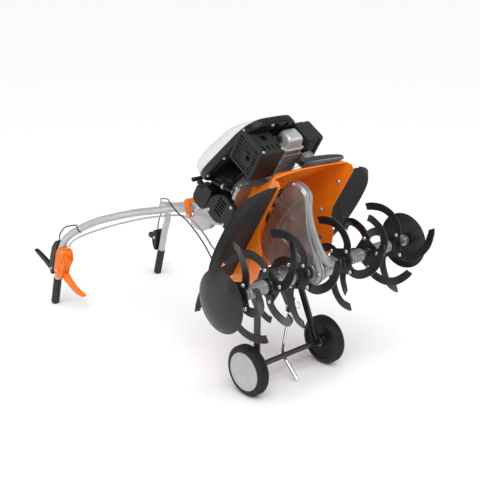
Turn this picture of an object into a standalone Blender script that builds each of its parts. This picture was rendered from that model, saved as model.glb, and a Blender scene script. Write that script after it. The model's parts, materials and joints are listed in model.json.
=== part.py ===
"""Walk-behind garden tiller, tipped back on its transport wheels and handlebar grips.

The machine is drawn upright in its own frame, whose origin is the tine axle:
x runs to the machine's left and right, y to the rear and z up.  The "machine" empty
leans that frame back, so the wheels and the two grips stand on the floor.
All lengths are metres.
"""
import bpy
import bmesh
from math import acos, atan2, cos, pi, radians, sin
from mathutils import Matrix, Vector

# ---------------------------------------------------------------- driving dimensions
LEAN = radians(58.5)                 # how far the machine is tipped back
AXLE_Y, AXLE_Z = -0.1403, 0.4405     # tine axle above the floor, ahead of the wheels
CENTRE_Y = 0.4731                    # moves the whole object over its own origin
GAP = 0.0003                         # clearance between neighbouring solids

SHEET = 0.0025                       # chassis sheet
CHASSIS_HALF = 0.165                 # half width over the side panels
FENDER_SHEET = 0.003

SHAFT_R = 0.0125                     # tine shaft
DISC_X, DISC_R = 0.43, 0.098         # side discs
STAR_X = (0.098, 0.224, 0.350)       # tine stars out from the centre
HUB_R = 0.020
BLADE_THICK = 0.005

WHEEL_R, WHEEL_X, TYRE_WIDTH = 0.0876, 0.181, 0.044
RIM_R = 0.066
AXLE_ROD_R = 0.0095

CASE_X, CASE_HALF = -0.034, 0.018    # gear case joint plane and half width
HUB_END_X = 0.055                    # right end of the case's long axle hub
DOME_Y, DOME_Z, DOME_R = -0.138, 0.172, 0.066
BOSS_R = 0.043                       # case round the tine axle
LOBE_Y, LOBE_Z, LOBE_R = 0.070, 0.125, 0.052
CASE_WALL = 0.004
CHAIN_X, WORM_X = -0.0235, -0.0375     # planes of the chain and the worm wheel
CHAIN_PITCH_R = {"tine": 0.026, "counter": 0.018}

CRANK_Y = 0.02                       # vertical crankshaft
INPUT_Y = -0.089                     # vertical input shaft of the gear case
DECK_Z = 0.330                       # top of the chassis
PULLEY_Z = 0.2480                    # belt height
DRIVEN_PULLEY_R, CRANK_PULLEY_R = 0.036, 0.028

PIVOT_Y, PIVOT_Z = 0.155, 0.142      # wheel carriage hinge
BAR_PIVOT = (0.255, 0.545)           # handlebar hinge, y and z in the machine frame

GRIP_X, GRIP_R, GRIP_LENGTH = 0.263, 0.0165, 0.122
TUBE_R, MAIN_TUBE_R = 0.0145, 0.0205

for leftover in list(bpy.data.objects):
    bpy.data.objects.remove(leftover)

PARTS = bpy.data.collections.new("tiller")
CUTTERS = bpy.data.collections.new("cutters")
for group in (PARTS, CUTTERS):
    bpy.context.scene.collection.children.link(group)


# ---------------------------------------------------------------- materials
def finish(name, colour, roughness, metallic=0.0):
    material = bpy.data.materials.new(name)
    material.use_nodes = True
    shader = material.node_tree.nodes["Principled BSDF"]
    shader.inputs["Base Color"].default_value = (*colour, 1.0)
    shader.inputs["Roughness"].default_value = roughness
    shader.inputs["Metallic"].default_value = metallic
    material.diffuse_color = (*colour, 1.0)
    return material


ORANGE = finish("orange_paint", (0.87, 0.24, 0.01), 0.4)
DARK_PLASTIC = finish("dark_plastic", (0.045, 0.047, 0.05), 0.5)
BLACK_PLASTIC = finish("black_plastic", (0.015, 0.015, 0.016), 0.4)
GLOSS_BLACK = finish("gloss_black", (0.02, 0.02, 0.022), 0.15)
WHITE_PLASTIC = finish("white_plastic", (0.75, 0.75, 0.74), 0.3)
ORANGE_PLASTIC = finish("orange_plastic", (0.9, 0.22, 0.01), 0.35)
BLACK_STEEL = finish("black_steel", (0.03, 0.03, 0.032), 0.35, 0.6)
TINE_STEEL = finish("tine_steel", (0.04, 0.04, 0.042), 0.4, 0.7)
ALUMINIUM = finish("cast_aluminium", (0.45, 0.44, 0.43), 0.4, 1.0)
STEEL = finish("bright_steel", (0.6, 0.6, 0.6), 0.3, 1.0)
CHROME = finish("chrome", (0.75, 0.75, 0.76), 0.1, 1.0)
SILVER_PAINT = finish("silver_paint", (0.62, 0.62, 0.62), 0.35, 0.3)
RUBBER = finish("rubber", (0.03, 0.03, 0.03), 0.8)
TYRE = finish("tyre", (0.035, 0.035, 0.035), 0.85)
HUBCAP_GREY = finish("hubcap_grey", (0.5, 0.5, 0.5), 0.4)
CABLE_GREY = finish("cable_grey", (0.4, 0.4, 0.41), 0.5)


# ---------------------------------------------------------------- frames
def empty(name, parent=None, location=(0, 0, 0), tilt=0.0):
    frame = bpy.data.objects.new(name, None)
    bpy.context.scene.collection.objects.link(frame)
    frame.parent = parent
    frame.location = location
    frame.rotation_euler = (tilt, 0, 0)
    return frame


FLOOR = empty("floor_frame", location=(0, -CENTRE_Y, 0))
MACHINE = empty("machine", FLOOR, (0, AXLE_Y, AXLE_Z), -LEAN)


# ---------------------------------------------------------------- building blocks
def place(name, mesh, material, parent, location=(0, 0, 0), rotation=(0, 0, 0)):
    thing = bpy.data.objects.new(name, mesh)
    PARTS.objects.link(thing)
    if not mesh.materials:
        mesh.materials.append(material)
    thing.parent = parent
    thing.location = location
    thing.rotation_euler = rotation
    return thing


def from_bmesh(name, bm, material, parent, location=(0, 0, 0), rotation=(0, 0, 0)):
    mesh = bpy.data.meshes.new(name)
    bmesh.ops.recalc_face_normals(bm, faces=bm.faces[:])
    bm.to_mesh(mesh)
    bm.free()
    return place(name, mesh, material, parent, location, rotation)


def smooth(thing, angle=35):
    thing.data.shade_smooth()
    thing.data.set_sharp_from_angle(angle=radians(angle))
    return thing


def box(name, low, high, material, parent, bevel=0.0, segments=1):
    """A block between two corners; bevel rounds its edges."""
    low, high = Vector(low), Vector(high)
    bm = bmesh.new()
    bmesh.ops.create_cube(bm, size=1.0, matrix=Matrix.Diagonal((*(high - low), 1.0)))
    block = from_bmesh(name, bm, material, parent, (low + high) / 2)
    if bevel:
        round_edges(block, bevel, segments)
    return block


def round_edges(thing, width, segments=1, angle=30):
    edge = thing.modifiers.new("edges", "BEVEL")
    edge.width = width
    edge.segments = segments
    edge.limit_method = "ANGLE"
    edge.angle_limit = radians(angle)
    edge.harden_normals = False
    return thing


TURNS = {"x": (0, pi / 2, 0), "y": (-pi / 2, 0, 0), "z": (0, 0, 0)}


def turned(name, profile, axis, centre, material, parent, sides=32):
    """A profile of (radius, height) points turned about an axis through centre.

    The points run down the outer side; height grows along +axis.
    """
    mesh = bpy.data.meshes.new(name)
    closed = profile[0][0] > 0
    edges = [(i, i + 1) for i in range(len(profile) - 1)]
    if closed:
        edges.append((len(profile) - 1, 0))
    mesh.from_pydata([(r, 0, h) for r, h in profile], edges, [])
    thing = place(name, mesh, material, parent, centre, TURNS[axis])
    spin = thing.modifiers.new("turn", "SCREW")
    spin.steps = sides
    spin.render_steps = sides
    spin.use_merge_vertices = True
    spin.merge_threshold = 0.00001
    return thing


def rod(name, radius, low, high, axis, centre, material, parent, sides=16, chamfer=0.0):
    """A round bar from low to high along axis; centre gives the other two places."""
    profile = [(0, high), (radius - chamfer, high), (radius, high - chamfer),
               (radius, low + chamfer), (radius - chamfer, low), (0, low)]
    if not chamfer:
        profile = [(0, high), (radius, high), (radius, low), (0, low)]
    return turned(name, profile, axis, centre, material, parent, sides)


def solid_mesh(curve_object):
    """Turn a curve into a welded mesh object of the same name and place."""
    bpy.context.view_layer.update()
    evaluated = curve_object.evaluated_get(bpy.context.evaluated_depsgraph_get())
    mesh = bpy.data.meshes.new_from_object(evaluated)
    bm = bmesh.new()
    bm.from_mesh(mesh)
    bmesh.ops.remove_doubles(bm, verts=bm.verts[:], dist=0.000005)
    bmesh.ops.recalc_face_normals(bm, faces=bm.faces[:])
    bm.to_mesh(mesh)
    bm.free()
    name, parent = curve_object.name, curve_object.parent
    where, turn = curve_object.location.copy(), curve_object.rotation_euler.copy()
    material = curve_object.data.materials[0]
    bpy.data.objects.remove(curve_object)
    return place(name, mesh, material, parent, where, turn)


def plate(name, outline, low, high, material, parent, across="x"):
    """A flat outline with a thickness from low to high.

    across="x": outline is (y, z) pairs.  across="z": (x, y) pairs.  across="y": (x, z).
    """
    curve = bpy.data.curves.new(name, "CURVE")
    curve.dimensions = "2D"
    curve.fill_mode = "BOTH"
    curve.extrude = (high - low) / 2
    curve.materials.append(material)
    spline = curve.splines.new("POLY")
    spline.points.add(len(outline) - 1)
    for point, (u, v) in zip(spline.points, outline):
        point.co = (u, v, 0, 1)
    spline.use_cyclic_u = True
    thing = bpy.data.objects.new(name, curve)
    PARTS.objects.link(thing)
    thing.parent = parent
    middle = (low + high) / 2
    if across == "x":
        thing.rotation_euler = (pi / 2, 0, pi / 2)
        thing.location = (middle, 0, 0)
    elif across == "y":
        thing.rotation_euler = (pi / 2, 0, 0)
        thing.location = (0, middle, 0)
    else:
        thing.location = (0, 0, middle)
    return solid_mesh(thing)


def tube(name, points, radius, material, parent, resolution=2):
    """A round tube or wire through the points."""
    curve = bpy.data.curves.new(name, "CURVE")
    curve.dimensions = "3D"
    curve.bevel_depth = radius
    curve.bevel_resolution = resolution
    curve.use_fill_caps = True
    curve.materials.append(material)
    spline = curve.splines.new("POLY")
    spline.points.add(len(points) - 1)
    for point, co in zip(spline.points, points):
        point.co = (*co, 1)
    thing = bpy.data.objects.new(name, curve)
    PARTS.objects.link(thing)
    thing.parent = parent
    return solid_mesh(thing)


def smooth_path(points, per_span=4):
    """Points of a Catmull-Rom curve through the given points."""
    knots = [Vector(p) for p in points]
    knots = [2 * knots[0] - knots[1]] + knots + [2 * knots[-1] - knots[-2]]
    path = []
    for a, b, c, d in zip(knots, knots[1:], knots[2:], knots[3:]):
        for step in range(per_span):
            t = step / per_span
            path.append(0.5 * (2 * b + (c - a) * t + (2 * a - 5 * b + 4 * c - d) * t * t
                               + (3 * b - a - 3 * c + d) * t ** 3))
    path.append(knots[-2])
    return path


def loft(name, rings, material, parent, location=(0, 0, 0), rotation=(0, 0, 0)):
    """Join rings of equally many points into one closed skin."""
    bm = bmesh.new()
    layers = [[bm.verts.new(co) for co in points] for points in rings]
    count = len(rings[0])
    for one, two in zip(layers, layers[1:]):
        for i in range(count):
            j = (i + 1) % count
            bm.faces.new((one[i], one[j], two[j], two[i]))
    bm.faces.new(layers[0][::-1])
    bm.faces.new(layers[-1])
    return from_bmesh(name, bm, material, parent, location, rotation)


def arc(cy, cz, radius, start, end, steps):
    """Points on a circle, angles in degrees."""
    span = radians(end - start)
    return [(cy + radius * cos(radians(start) + span * i / steps),
             cz + radius * sin(radians(start) + span * i / steps)) for i in range(steps + 1)]


def combine(target, tool, operation):
    PARTS.objects.unlink(tool)
    CUTTERS.objects.link(tool)
    tool.hide_render = True
    tool.display_type = "WIRE"
    change = target.modifiers.new(tool.name, "BOOLEAN")
    change.object = tool
    change.operation = operation
    change.solver = "EXACT"
    return target


def cut(target, *tools):
    for tool in tools:
        combine(target, tool, "DIFFERENCE")
    return target


def join(target, *tools):
    for tool in tools:
        combine(target, tool, "UNION")
    return target


# ---------------------------------------------------------------- chassis
DECK_EDGE = [(-0.238, 0.206, 0.165, 0.165), (-0.224, 0.232, 0.128, 0.163),
             (-0.206, 0.250, 0.096, 0.160), (-0.150, 0.272, 0.086, 0.155),
             (-0.095, 0.300, 0.078, 0.148), (-0.070, DECK_Z, 0.070, 0.138),
             (0.190, DECK_Z, 0.070, 0.138), (0.213, 0.305, 0.095, 0.150),
             (0.232, 0.208, 0.165, 0.165)]
BELLY = [(0.205, 0.160), (0.185, 0.130), (0.160, 0.108), (0.135, 0.094), (0.105, 0.087),
         (0.070, 0.089), (0.035, 0.100), (0.000, 0.116), (-0.024, 0.142), (-0.044, 0.159),
         (-0.070, 0.167), (-0.236, 0.169), (-0.246, 0.184)]


def nose_edge(u):
    """Arched lower edge of the nose at u, from -1 at the left panel to 1 at the right."""
    y, z, half = DECK_EDGE[0][:3]
    up_y, up_z = DECK_EDGE[1][:2]
    lift = 0.86 * (1 - u * u)
    return Vector((u * half, y + (up_y - y) * lift, z + (up_z - z) * lift))


def chassis_shell():
    """Nose, deck and leaning sides folded from one sheet, over upright side panels.

    DECK_EDGE gives (y, z, left half width, right half width) from the nose corner over
    the deck to the rear; BELLY the lower rim of a side panel, rear to front, with the lobe for the wheels.
    """
    bm = bmesh.new()
    columns = []
    for u in (-1, -0.66, -0.33, 0, 0.33, 0.66, 1):
        column = [bm.verts.new((u * (left if u < 0 else right), y, z))
                  for y, z, left, right in DECK_EDGE]
        column[0].co = nose_edge(u)
        columns.append(column)
    for one, two in zip(columns, columns[1:]):
        for k in range(len(DECK_EDGE) - 1):
            bm.faces.new((one[k], one[k + 1], two[k + 1], two[k]))
    shoulder_z = DECK_EDGE[0][1]
    for column in (columns[0], columns[-1]):
        x = column[0].co.x
        shoulder = [bm.verts.new((x, v.co.y, shoulder_z)) for v in column[1:-1]]
        shoulder = [column[0], *shoulder, column[-1]]
        for k in range(len(column) - 1):
            corners = dict.fromkeys((column[k], column[k + 1], shoulder[k + 1], shoulder[k]))
            bm.faces.new(list(corners))
        bm.faces.new(shoulder + [bm.verts.new((x, y, z)) for y, z in BELLY])
    shell = from_bmesh("chassis_shell", bm, ORANGE, MACHINE)
    thick = shell.modifiers.new("sheet", "SOLIDIFY")
    thick.thickness = SHEET
    thick.offset = -1
    thick.use_even_offset = True
    hole = rod("crank_hole", 0.016, 0.30, 0.35, "z", (0, CRANK_Y, 0), ORANGE, MACHINE)
    return cut(shell, hole)


def nose_cover():
    """Rounded cover over the right half of the nose edge."""
    y, z = DECK_EDGE[0][:2]
    along = (Vector(DECK_EDGE[1][:2]) - Vector((y, z))).normalized()
    out = Vector((-along.y, along.x))
    rings = []
    for step in range(9):
        u = -0.04 + 0.96 * step / 8
        swell = 0.5 + 0.5 * sin(pi * (step + 0.5) / 9) ** 0.5
        middle = nose_edge(u).yz + along * 0.008 + out * 0.0120
        points = []
        for k in range(10):
            a = 2 * pi * k / 10
            p = middle + along * 0.014 * swell * cos(a) + out * 0.009 * swell * sin(a)
            points.append((u * CHASSIS_HALF, p.x, p.y))
        rings.append(points)
    return smooth(loft("nose_cover", rings, GLOSS_BLACK, MACHINE), 60)


FENDER_FOLD = [(0.196, -0.236), (0.240, -0.208), (0.268, -0.172), (0.283, -0.128),
               (0.289, -0.060), (0.286, 0.017), (0.272, 0.086), (0.250, 0.140), (0.212, 0.168)]


def fender(name, side):
    """Plastic guard over one set of tines, with its outer band folded up."""
    inner = CHASSIS_HALF + 0.0008

    def on_guard(x, y, lift=0.0):
        return (side * x, y, 0.1765 - 0.13 * (x - CHASSIS_HALF) + lift)

    bm = bmesh.new()
    base = [bm.verts.new(on_guard(x, y)) for x, y in FENDER_FOLD]
    band = [bm.verts.new(on_guard(x + 0.017, 1.03 * y, 0.022)) for x, y in FENDER_FOLD]
    ends = [bm.verts.new(on_guard(inner, y)) for y in (0.166, -0.232)]
    bm.faces.new(base + ends)
    for k in range(len(base) - 1):
        bm.faces.new((base[k], base[k + 1], band[k + 1], band[k]))
    guard = from_bmesh(name, bm, DARK_PLASTIC, MACHINE)
    thick = guard.modifiers.new("sheet", "SOLIDIFY")
    thick.thickness = FENDER_SHEET
    thick.offset = 1
    slot = box(name + "_slot", (side * 0.240 - 0.020, 0.050, 0.15),
               (side * 0.240 + 0.020, 0.085, 0.20), DARK_PLASTIC, MACHINE)
    return cut(guard, slot)


# ---------------------------------------------------------------- gear case and drive
# Hollow front edge of the gear case between its dome and the boss, (y, z).
CASE_FRONT = [(-0.188, 0.138), (-0.128, 0.101), (-0.090, 0.054), (-0.060, 0.006)]
# Its back above the lobe, up to the dome, (y, z).
CASE_BACK = [(0.114, 0.176), (0.096, 0.206), (0.062, 0.226), (0.010, 0.2340), (-0.070, 0.2365)]


def case_outline(inset=0.0):
    """Dome over the countershaft, boss round the tine axle, lobe to the rear."""
    front = [(y + 0.78 * inset, z + 0.62 * inset) for y, z in CASE_FRONT]
    back = [(y - 0.7 * inset, z - inset) for y, z in CASE_BACK]
    return (arc(DOME_Y, DOME_Z, DOME_R - inset, 85, 195, 7) + front
            + arc(0, 0, BOSS_R - inset, 200, 320, 6)
            + arc(LOBE_Y, LOBE_Z, LOBE_R - inset, -45, 15, 4) + back)


def gear_case_half(name, side):
    wall, split = CASE_X + side * CASE_HALF, CASE_X + side * GAP / 2
    inner_wall, past_split = wall - side * CASE_WALL, CASE_X - side * 0.01
    half = plate(name, case_outline(), min(wall, split), max(wall, split), ALUMINIUM, MACHINE)
    if side > 0:
        hub = turned(name + "_hub", [(0, HUB_END_X), (0.030, HUB_END_X), (BOSS_R - 0.002, wall),
                                     (BOSS_R - 0.002, wall - 0.004), (0, wall - 0.004)],
                     "x", (0, 0, 0), ALUMINIUM, MACHINE, 24)
        join(half, hub)
    hollow = plate(name + "_hollow", case_outline(CASE_WALL), min(inner_wall, past_split),
                   max(inner_wall, past_split), ALUMINIUM, MACHINE)
    bore = rod(name + "_bore", 0.0134, -0.08, 0.08, "x", (0, 0, 0), ALUMINIUM, MACHINE, 16)
    neck = rod(name + "_neck", 0.0100, 0.18, 0.26, "z", (WORM_X, INPUT_Y, 0), ALUMINIUM, MACHINE)
    return cut(half, hollow, bore, neck)


def loop_outline(first, first_r, second, second_r, steps=8):
    """Outline round two circles, as of a belt or chain round two wheels."""
    first, second = Vector(first), Vector(second)
    across = second - first
    heading = atan2(across.y, across.x) * 180 / pi
    spread = acos((first_r - second_r) / across.length) * 180 / pi
    return (arc(*second, second_r, heading - spread, heading + spread, steps)
            + arc(*first, first_r, heading + spread, heading + 360 - spread, steps))


def chain_outline(offset):
    """Outline of the chain round both sprockets, offset from its pitch line."""
    return loop_outline((0, 0), CHAIN_PITCH_R["tine"] + offset,
                        (DOME_Y, DOME_Z), CHAIN_PITCH_R["counter"] + offset)


def drive_chain():
    chain = plate("drive_chain", chain_outline(0.0042), CHAIN_X - 0.0027, CHAIN_X + 0.0027,
                  BLACK_STEEL, MACHINE)
    inside = plate("chain_inside", chain_outline(0.0006), CHAIN_X - 0.01, CHAIN_X + 0.01,
                   BLACK_STEEL, MACHINE)
    return cut(chain, inside)


def worm_wheel():
    """Countershaft with the worm wheel and the upper sprocket."""
    shaft, wheel, sprocket = 0.009, 0.037, CHAIN_PITCH_R["counter"]
    left, right = CASE_X - CASE_HALF + CASE_WALL + 0.001, CASE_X + CASE_HALF - CASE_WALL - 0.001
    profile = [(0, right), (shaft, right), (shaft, CHAIN_X + 0.002),
               (sprocket, CHAIN_X + 0.002), (sprocket, CHAIN_X - 0.002),
               (shaft, CHAIN_X - 0.002), (shaft, WORM_X + 0.006), (wheel, WORM_X + 0.006),
               (wheel - 0.003, WORM_X), (wheel, WORM_X - 0.006), (shaft, WORM_X - 0.006),
               (shaft, left), (0, left)]
    return turned("worm_wheel", profile, "x", (0, DOME_Y, DOME_Z), STEEL, MACHINE, 20)


def tine_shaft():
    end, sprocket = DISC_X - 0.006, CHAIN_PITCH_R["tine"]
    profile = [(0, end), (SHAFT_R, end), (SHAFT_R, CHAIN_X + 0.002),
               (sprocket, CHAIN_X + 0.002), (sprocket, CHAIN_X - 0.002),
               (SHAFT_R, CHAIN_X - 0.002), (SHAFT_R, -end), (0, -end)]
    return turned("tine_shaft", profile, "x", (0, 0, 0), STEEL, MACHINE, 16)


def pulley_rim(radius, middle):
    """Profile points of a belt groove, from the top face to the bottom face."""
    return [(radius, middle + 0.0075), (radius, middle + 0.0052), (radius - 0.008, middle + 0.0034),
            (radius - 0.008, middle - 0.0034), (radius, middle - 0.0052),
            (radius, middle - 0.0075)]


def driven_pulley():
    """Pulley, vertical input shaft and worm in one turned piece."""
    shaft, worm = 0.008, 0.0100
    profile = [(0, PULLEY_Z + 0.012), (shaft, PULLEY_Z + 0.012), (shaft, PULLEY_Z + 0.0075)]
    profile += pulley_rim(DRIVEN_PULLEY_R, PULLEY_Z)
    profile += [(shaft, PULLEY_Z - 0.0075), (shaft, DOME_Z + 0.026),
                (worm, DOME_Z + 0.024), (worm, DOME_Z - 0.024), (shaft, DOME_Z - 0.026),
                (shaft, DOME_Z - 0.040), (0, DOME_Z - 0.040)]
    return turned("driven_pulley", profile, "z", (WORM_X, INPUT_Y, 0), STEEL, MACHINE, 16)


def crankshaft():
    """Vertical crankshaft with its belt pulley under the deck."""
    shaft = 0.011
    profile = [(0, 0.4370), (shaft, 0.4370), (shaft, PULLEY_Z + 0.0075)]
    profile += pulley_rim(CRANK_PULLEY_R, PULLEY_Z)
    profile += [(shaft, PULLEY_Z - 0.0075), (shaft, PULLEY_Z - 0.012), (0, PULLEY_Z - 0.012)]
    return turned("crankshaft", profile, "z", (0, CRANK_Y, 0), STEEL, MACHINE, 16)


def belt_outline(offset):
    """Outline of the belt in plan, (x, y), offset from its inner face."""
    return loop_outline((WORM_X, INPUT_Y), DRIVEN_PULLEY_R - 0.0070 + offset,
                        (0, CRANK_Y), CRANK_PULLEY_R - 0.0070 + offset, 12)


def drive_belt():
    low, high = PULLEY_Z - 0.0031, PULLEY_Z + 0.0031
    belt = plate("drive_belt", belt_outline(0.0060), low, high, RUBBER, MACHINE, "z")
    inside = plate("belt_inside", belt_outline(0), low - 0.01, high + 0.01, RUBBER, MACHINE, "z")
    return cut(belt, inside)


# ---------------------------------------------------------------- tines
def side_disc(name, side):
    """Dished disc bolted to the end of the tine shaft."""
    face = [(0, 0.0040), (0.036, 0.0030), (0.070, -0.0030), (DISC_R, -0.0130),
            (DISC_R - 0.001, -0.0155), (0.070, -0.0058), (0.036, 0.0000), (0.020, 0.0005),
            (0.020, -0.0055), (0, -0.0055)]
    profile = face if side > 0 else [(r, -h) for r, h in reversed(face)]
    return smooth(turned(name, profile, "x", (side * DISC_X, 0, 0), TINE_STEEL, MACHINE, 28))


BLADE_PATH = [(0.0300, 0.0000, 0.0000), (0.0560, 0.0000, 0.0000), (0.0783, -0.0166, 0.0020),
              (0.0971, -0.0516, 0.0090), (0.0981, -0.0883, 0.0220), (0.0816, -0.1195, 0.0360),
              (0.0690, -0.1320, 0.0450)]
BLADE_WIDTHS = [0.034, 0.034, 0.030, 0.028, 0.027, 0.026, 0.025]


def blade(name, angle, bend):
    """One curved tine: out from the hub, swept back and bent sideways by bend at the tip."""
    points = [Vector((out, back, abs(bend) * sideways)) for out, back, sideways in BLADE_PATH]
    turn = Matrix.Rotation(radians(angle), 3, "X")
    sign = 1 if bend > 0 else -1
    rings = []
    for k, centre in enumerate(points):
        ahead = points[min(k + 1, len(points) - 1)] - points[max(k - 1, 0)]
        wide = Vector((-ahead.y, ahead.x, 0)).normalized() * BLADE_WIDTHS[k] / 2
        thick = ahead.cross(wide).normalized() * BLADE_THICK / 2
        corners = [centre + wide * s + thick * t for s, t in ((1, 1), (-1, 1), (-1, -1), (1, -1))]
        rings.append([turn @ Vector((sign * (c.z + 0.0048), c.x, c.y)) for c in corners])
    return loft(name, rings, TINE_STEEL, None)


def tine_star(name, x, phase, bends):
    """Square hub plate with four tines, bent to alternate sides by the two bends."""
    side, cant = 0.043, 0.010
    corners = [(side, cant - side), (side, side - cant), (side - cant, side), (cant - side, side),
               (-side, side - cant), (-side, cant - side), (cant - side, -side),
               (side - cant, -side)]
    star = plate(name, corners, -0.003, 0.003, TINE_STEEL, None)
    join(star, rod(name + "_hub", HUB_R, -0.019, 0.019, "x", (0, 0, 0), TINE_STEEL, None, 12))
    for k in range(4):
        join(star, blade(f"{name}_blade_{k}", 45 + 90 * k, bends[k % 2]))
    cut(star, rod(name + "_bore", 0.0132, -0.03, 0.03, "x", (0, 0, 0), TINE_STEEL, None, 12))
    bpy.context.view_layer.update()
    mesh = bpy.data.meshes.new_from_object(
        star.evaluated_get(bpy.context.evaluated_depsgraph_get()))
    turn = Matrix.Translation((x, 0, 0)) @ Matrix.Rotation(radians(phase), 4, "X")
    mesh.transform(turn @ star.matrix_world)
    for tool in [change.object for change in star.modifiers]:
        bpy.data.objects.remove(tool)
    bpy.data.objects.remove(star)
    return place(name, mesh, TINE_STEEL, MACHINE)


def coupling(name, side):
    """Ribbed sleeve that pins two tine sections together."""
    outer, inner, half = 0.0225, 0.0133, 0.030
    profile = [(outer, half)]
    for middle in (0.012, -0.012):
        profile += [(outer, middle + 0.005), (outer - 0.003, middle + 0.003),
                    (outer - 0.003, middle - 0.003), (outer, middle - 0.005)]
    profile += [(outer, -half), (inner, -half), (inner, half)]
    return smooth(turned(name, profile, "x", (side * 0.161, 0, 0), STEEL, MACHINE, 12))


# ---------------------------------------------------------------- wheels and spur
SPUR_START, SPUR_DIRECTION = Vector((0.200, 0.0285)), Vector((0.9397, -0.3420))
WHEEL_CENTRE = Vector((0.3742, -0.0648))


def bar_between(name, start, end, width, thick, material, parent):
    """Flat bar between two (x, y, z) points; width is measured across in side view."""
    start, end = Vector(start), Vector(end)
    along = (end - start).normalized()
    across = along.cross(Vector((1, 0, 0))).normalized() * width / 2
    out = across.cross(along).normalized() * thick / 2
    rings = [[p + across + out, p - across + out, p - across - out, p + across - out]
             for p in (start, end)]
    return loft(name, rings, material, parent)


def wheel_carriage():
    """Hinge tube, two struts, the axle rod between the wheels and the spur holder."""
    pivot = (0, PIVOT_Y, PIVOT_Z)
    half = CHASSIS_HALF - SHEET - 0.001
    carriage = rod("wheel_carriage", 0.0125, -half, half, "x", pivot, BLACK_STEEL, MACHINE, 20)
    axle = rod("carriage_axle", AXLE_ROD_R, -WHEEL_X - 0.0190, WHEEL_X + 0.0190, "x",
               (0, *WHEEL_CENTRE), BLACK_STEEL, MACHINE, 16)
    join(carriage, axle)
    for side in (-1, 1):
        strut = bar_between(f"strut_{side + 1}", (side * 0.086, PIVOT_Y, PIVOT_Z),
                            (side * 0.146, *WHEEL_CENTRE), 0.026, 0.007, BLACK_STEEL, MACHINE)
        join(carriage, strut)
    low = SPUR_START - SPUR_DIRECTION * 0.004
    for side in (-1, 1):
        cheek = bar_between(f"spur_cheek_{side + 1}",
                            (side * 0.0098, PIVOT_Y + 0.004, PIVOT_Z - 0.004),
                            (side * 0.0098, low.x + 0.012, low.y),
                            0.022, 0.0048, BLACK_STEEL, MACHINE)
        join(carriage, cheek)
    sleeve = along_spur("spur_sleeve", 0.0125, -0.014, 0.036, BLACK_STEEL)
    join(carriage, sleeve)
    return cut(carriage, along_spur("spur_bore", 0.0075, -0.05, 0.08, BLACK_STEEL))


def along_spur(name, radius, low, high, material):
    """Round bar on the spur's upper straight, from low to high along it."""
    start = SPUR_START + SPUR_DIRECTION * low
    end = SPUR_START + SPUR_DIRECTION * high
    return tube(name, [(0, *start), (0, *end)], radius, material, MACHINE, 4)


def drag_spur():
    """Bent round bar that drags in the soil, sliding in its holder."""
    top = SPUR_START - SPUR_DIRECTION * 0.020
    bend = SPUR_START + SPUR_DIRECTION * 0.208
    foot = Vector((0.4165, -0.1470))
    leg = (foot - bend).normalized()
    radius = 0.024
    inner = [bend - SPUR_DIRECTION * radius, foot]
    points = [top, inner[0]]
    for t in (0.25, 0.5, 0.75):
        points.append((1 - t) ** 2 * inner[0] + 2 * t * (1 - t) * bend
                      + t * t * (bend + leg * radius))
    points += [bend + leg * radius, foot]
    return smooth(tube("drag_spur", [(0, *p) for p in points], 0.0065, CHROME, MACHINE, 4))


def tyre(name, side):
    half, inner = TYRE_WIDTH / 2, RIM_R + 0.0004
    profile = [(WHEEL_R - 0.016, half - 0.001), (WHEEL_R - 0.005, half - 0.006),
               (WHEEL_R, half - 0.013), (WHEEL_R, 0.013 - half), (WHEEL_R - 0.005, 0.006 - half),
               (WHEEL_R - 0.016, 0.001 - half), (inner, -half + 0.004), (inner, half - 0.004)]
    return smooth(turned(name, profile, "x", (side * WHEEL_X, 0, WHEEL_R), TYRE, FLOOR, 28))


def rim(name, side):
    """Wheel disc with its hubcap on the outer side and a bore for the axle."""
    half, bore = TYRE_WIDTH / 2, AXLE_ROD_R + 0.0006
    out = [(RIM_R, half - 0.005), (RIM_R, 0.005 - half), (RIM_R - 0.004, 0.005 - half),
           (RIM_R - 0.008, -0.004), (0.020, -0.004), (0.018, 0.002 - half), (bore, 0.002 - half),
           (bore, 0.0194), (0, 0.0194), (0, half + 0.004), (0.030, half + 0.003),
           (RIM_R - 0.010, half)]
    profile = out if side > 0 else [(r, -h) for r, h in reversed(out)]
    return smooth(turned(name, profile, "x", (side * WHEEL_X, 0, WHEEL_R), HUBCAP_GREY,
                         FLOOR, 28))


# ---------------------------------------------------------------- engine
def bored(thing, radius):
    """Clearance for the crankshaft."""
    hole = rod(thing.name + "_crank_bore", radius, 0.20, 0.60, "z", (0, CRANK_Y, 0),
               STEEL, MACHINE, 24)
    return cut(thing, hole)


def engine_base():
    outline = [(-0.128, -0.068), (0.118, -0.068), (0.118, 0.060), (0.080, 0.098),
               (-0.060, 0.098), (-0.108, 0.060), (-0.108, -0.004), (-0.128, -0.016)]
    base = plate("engine_base", outline, DECK_Z + GAP, 0.3440, ALUMINIUM, MACHINE, "z")
    return bored(base, 0.0118)


def crankcase():
    case = turned("crankcase", [(0, 0.410), (0.062, 0.410), (0.074, 0.400), (0.078, 0.352),
                                (0.078, 0.3443), (0, 0.3443)],
                  "z", (0, CRANK_Y, 0), ALUMINIUM, MACHINE, 20)
    return smooth(bored(case, 0.0118))


CYLINDER_X, CYLINDER_Z = 0.030, 0.353


def block_stack(name, sections, material):
    """Rectangles along y, each (y, half width, half height), joined into one skin."""
    rings = []
    for y, wide, tall in sections:
        rings.append([(CYLINDER_X - wide, y, CYLINDER_Z - tall),
                      (CYLINDER_X + wide, y, CYLINDER_Z - tall),
                      (CYLINDER_X + wide, y, CYLINDER_Z + tall),
                      (CYLINDER_X - wide, y, CYLINDER_Z + tall)])
    return loft(name, rings, material, MACHINE)


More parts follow.
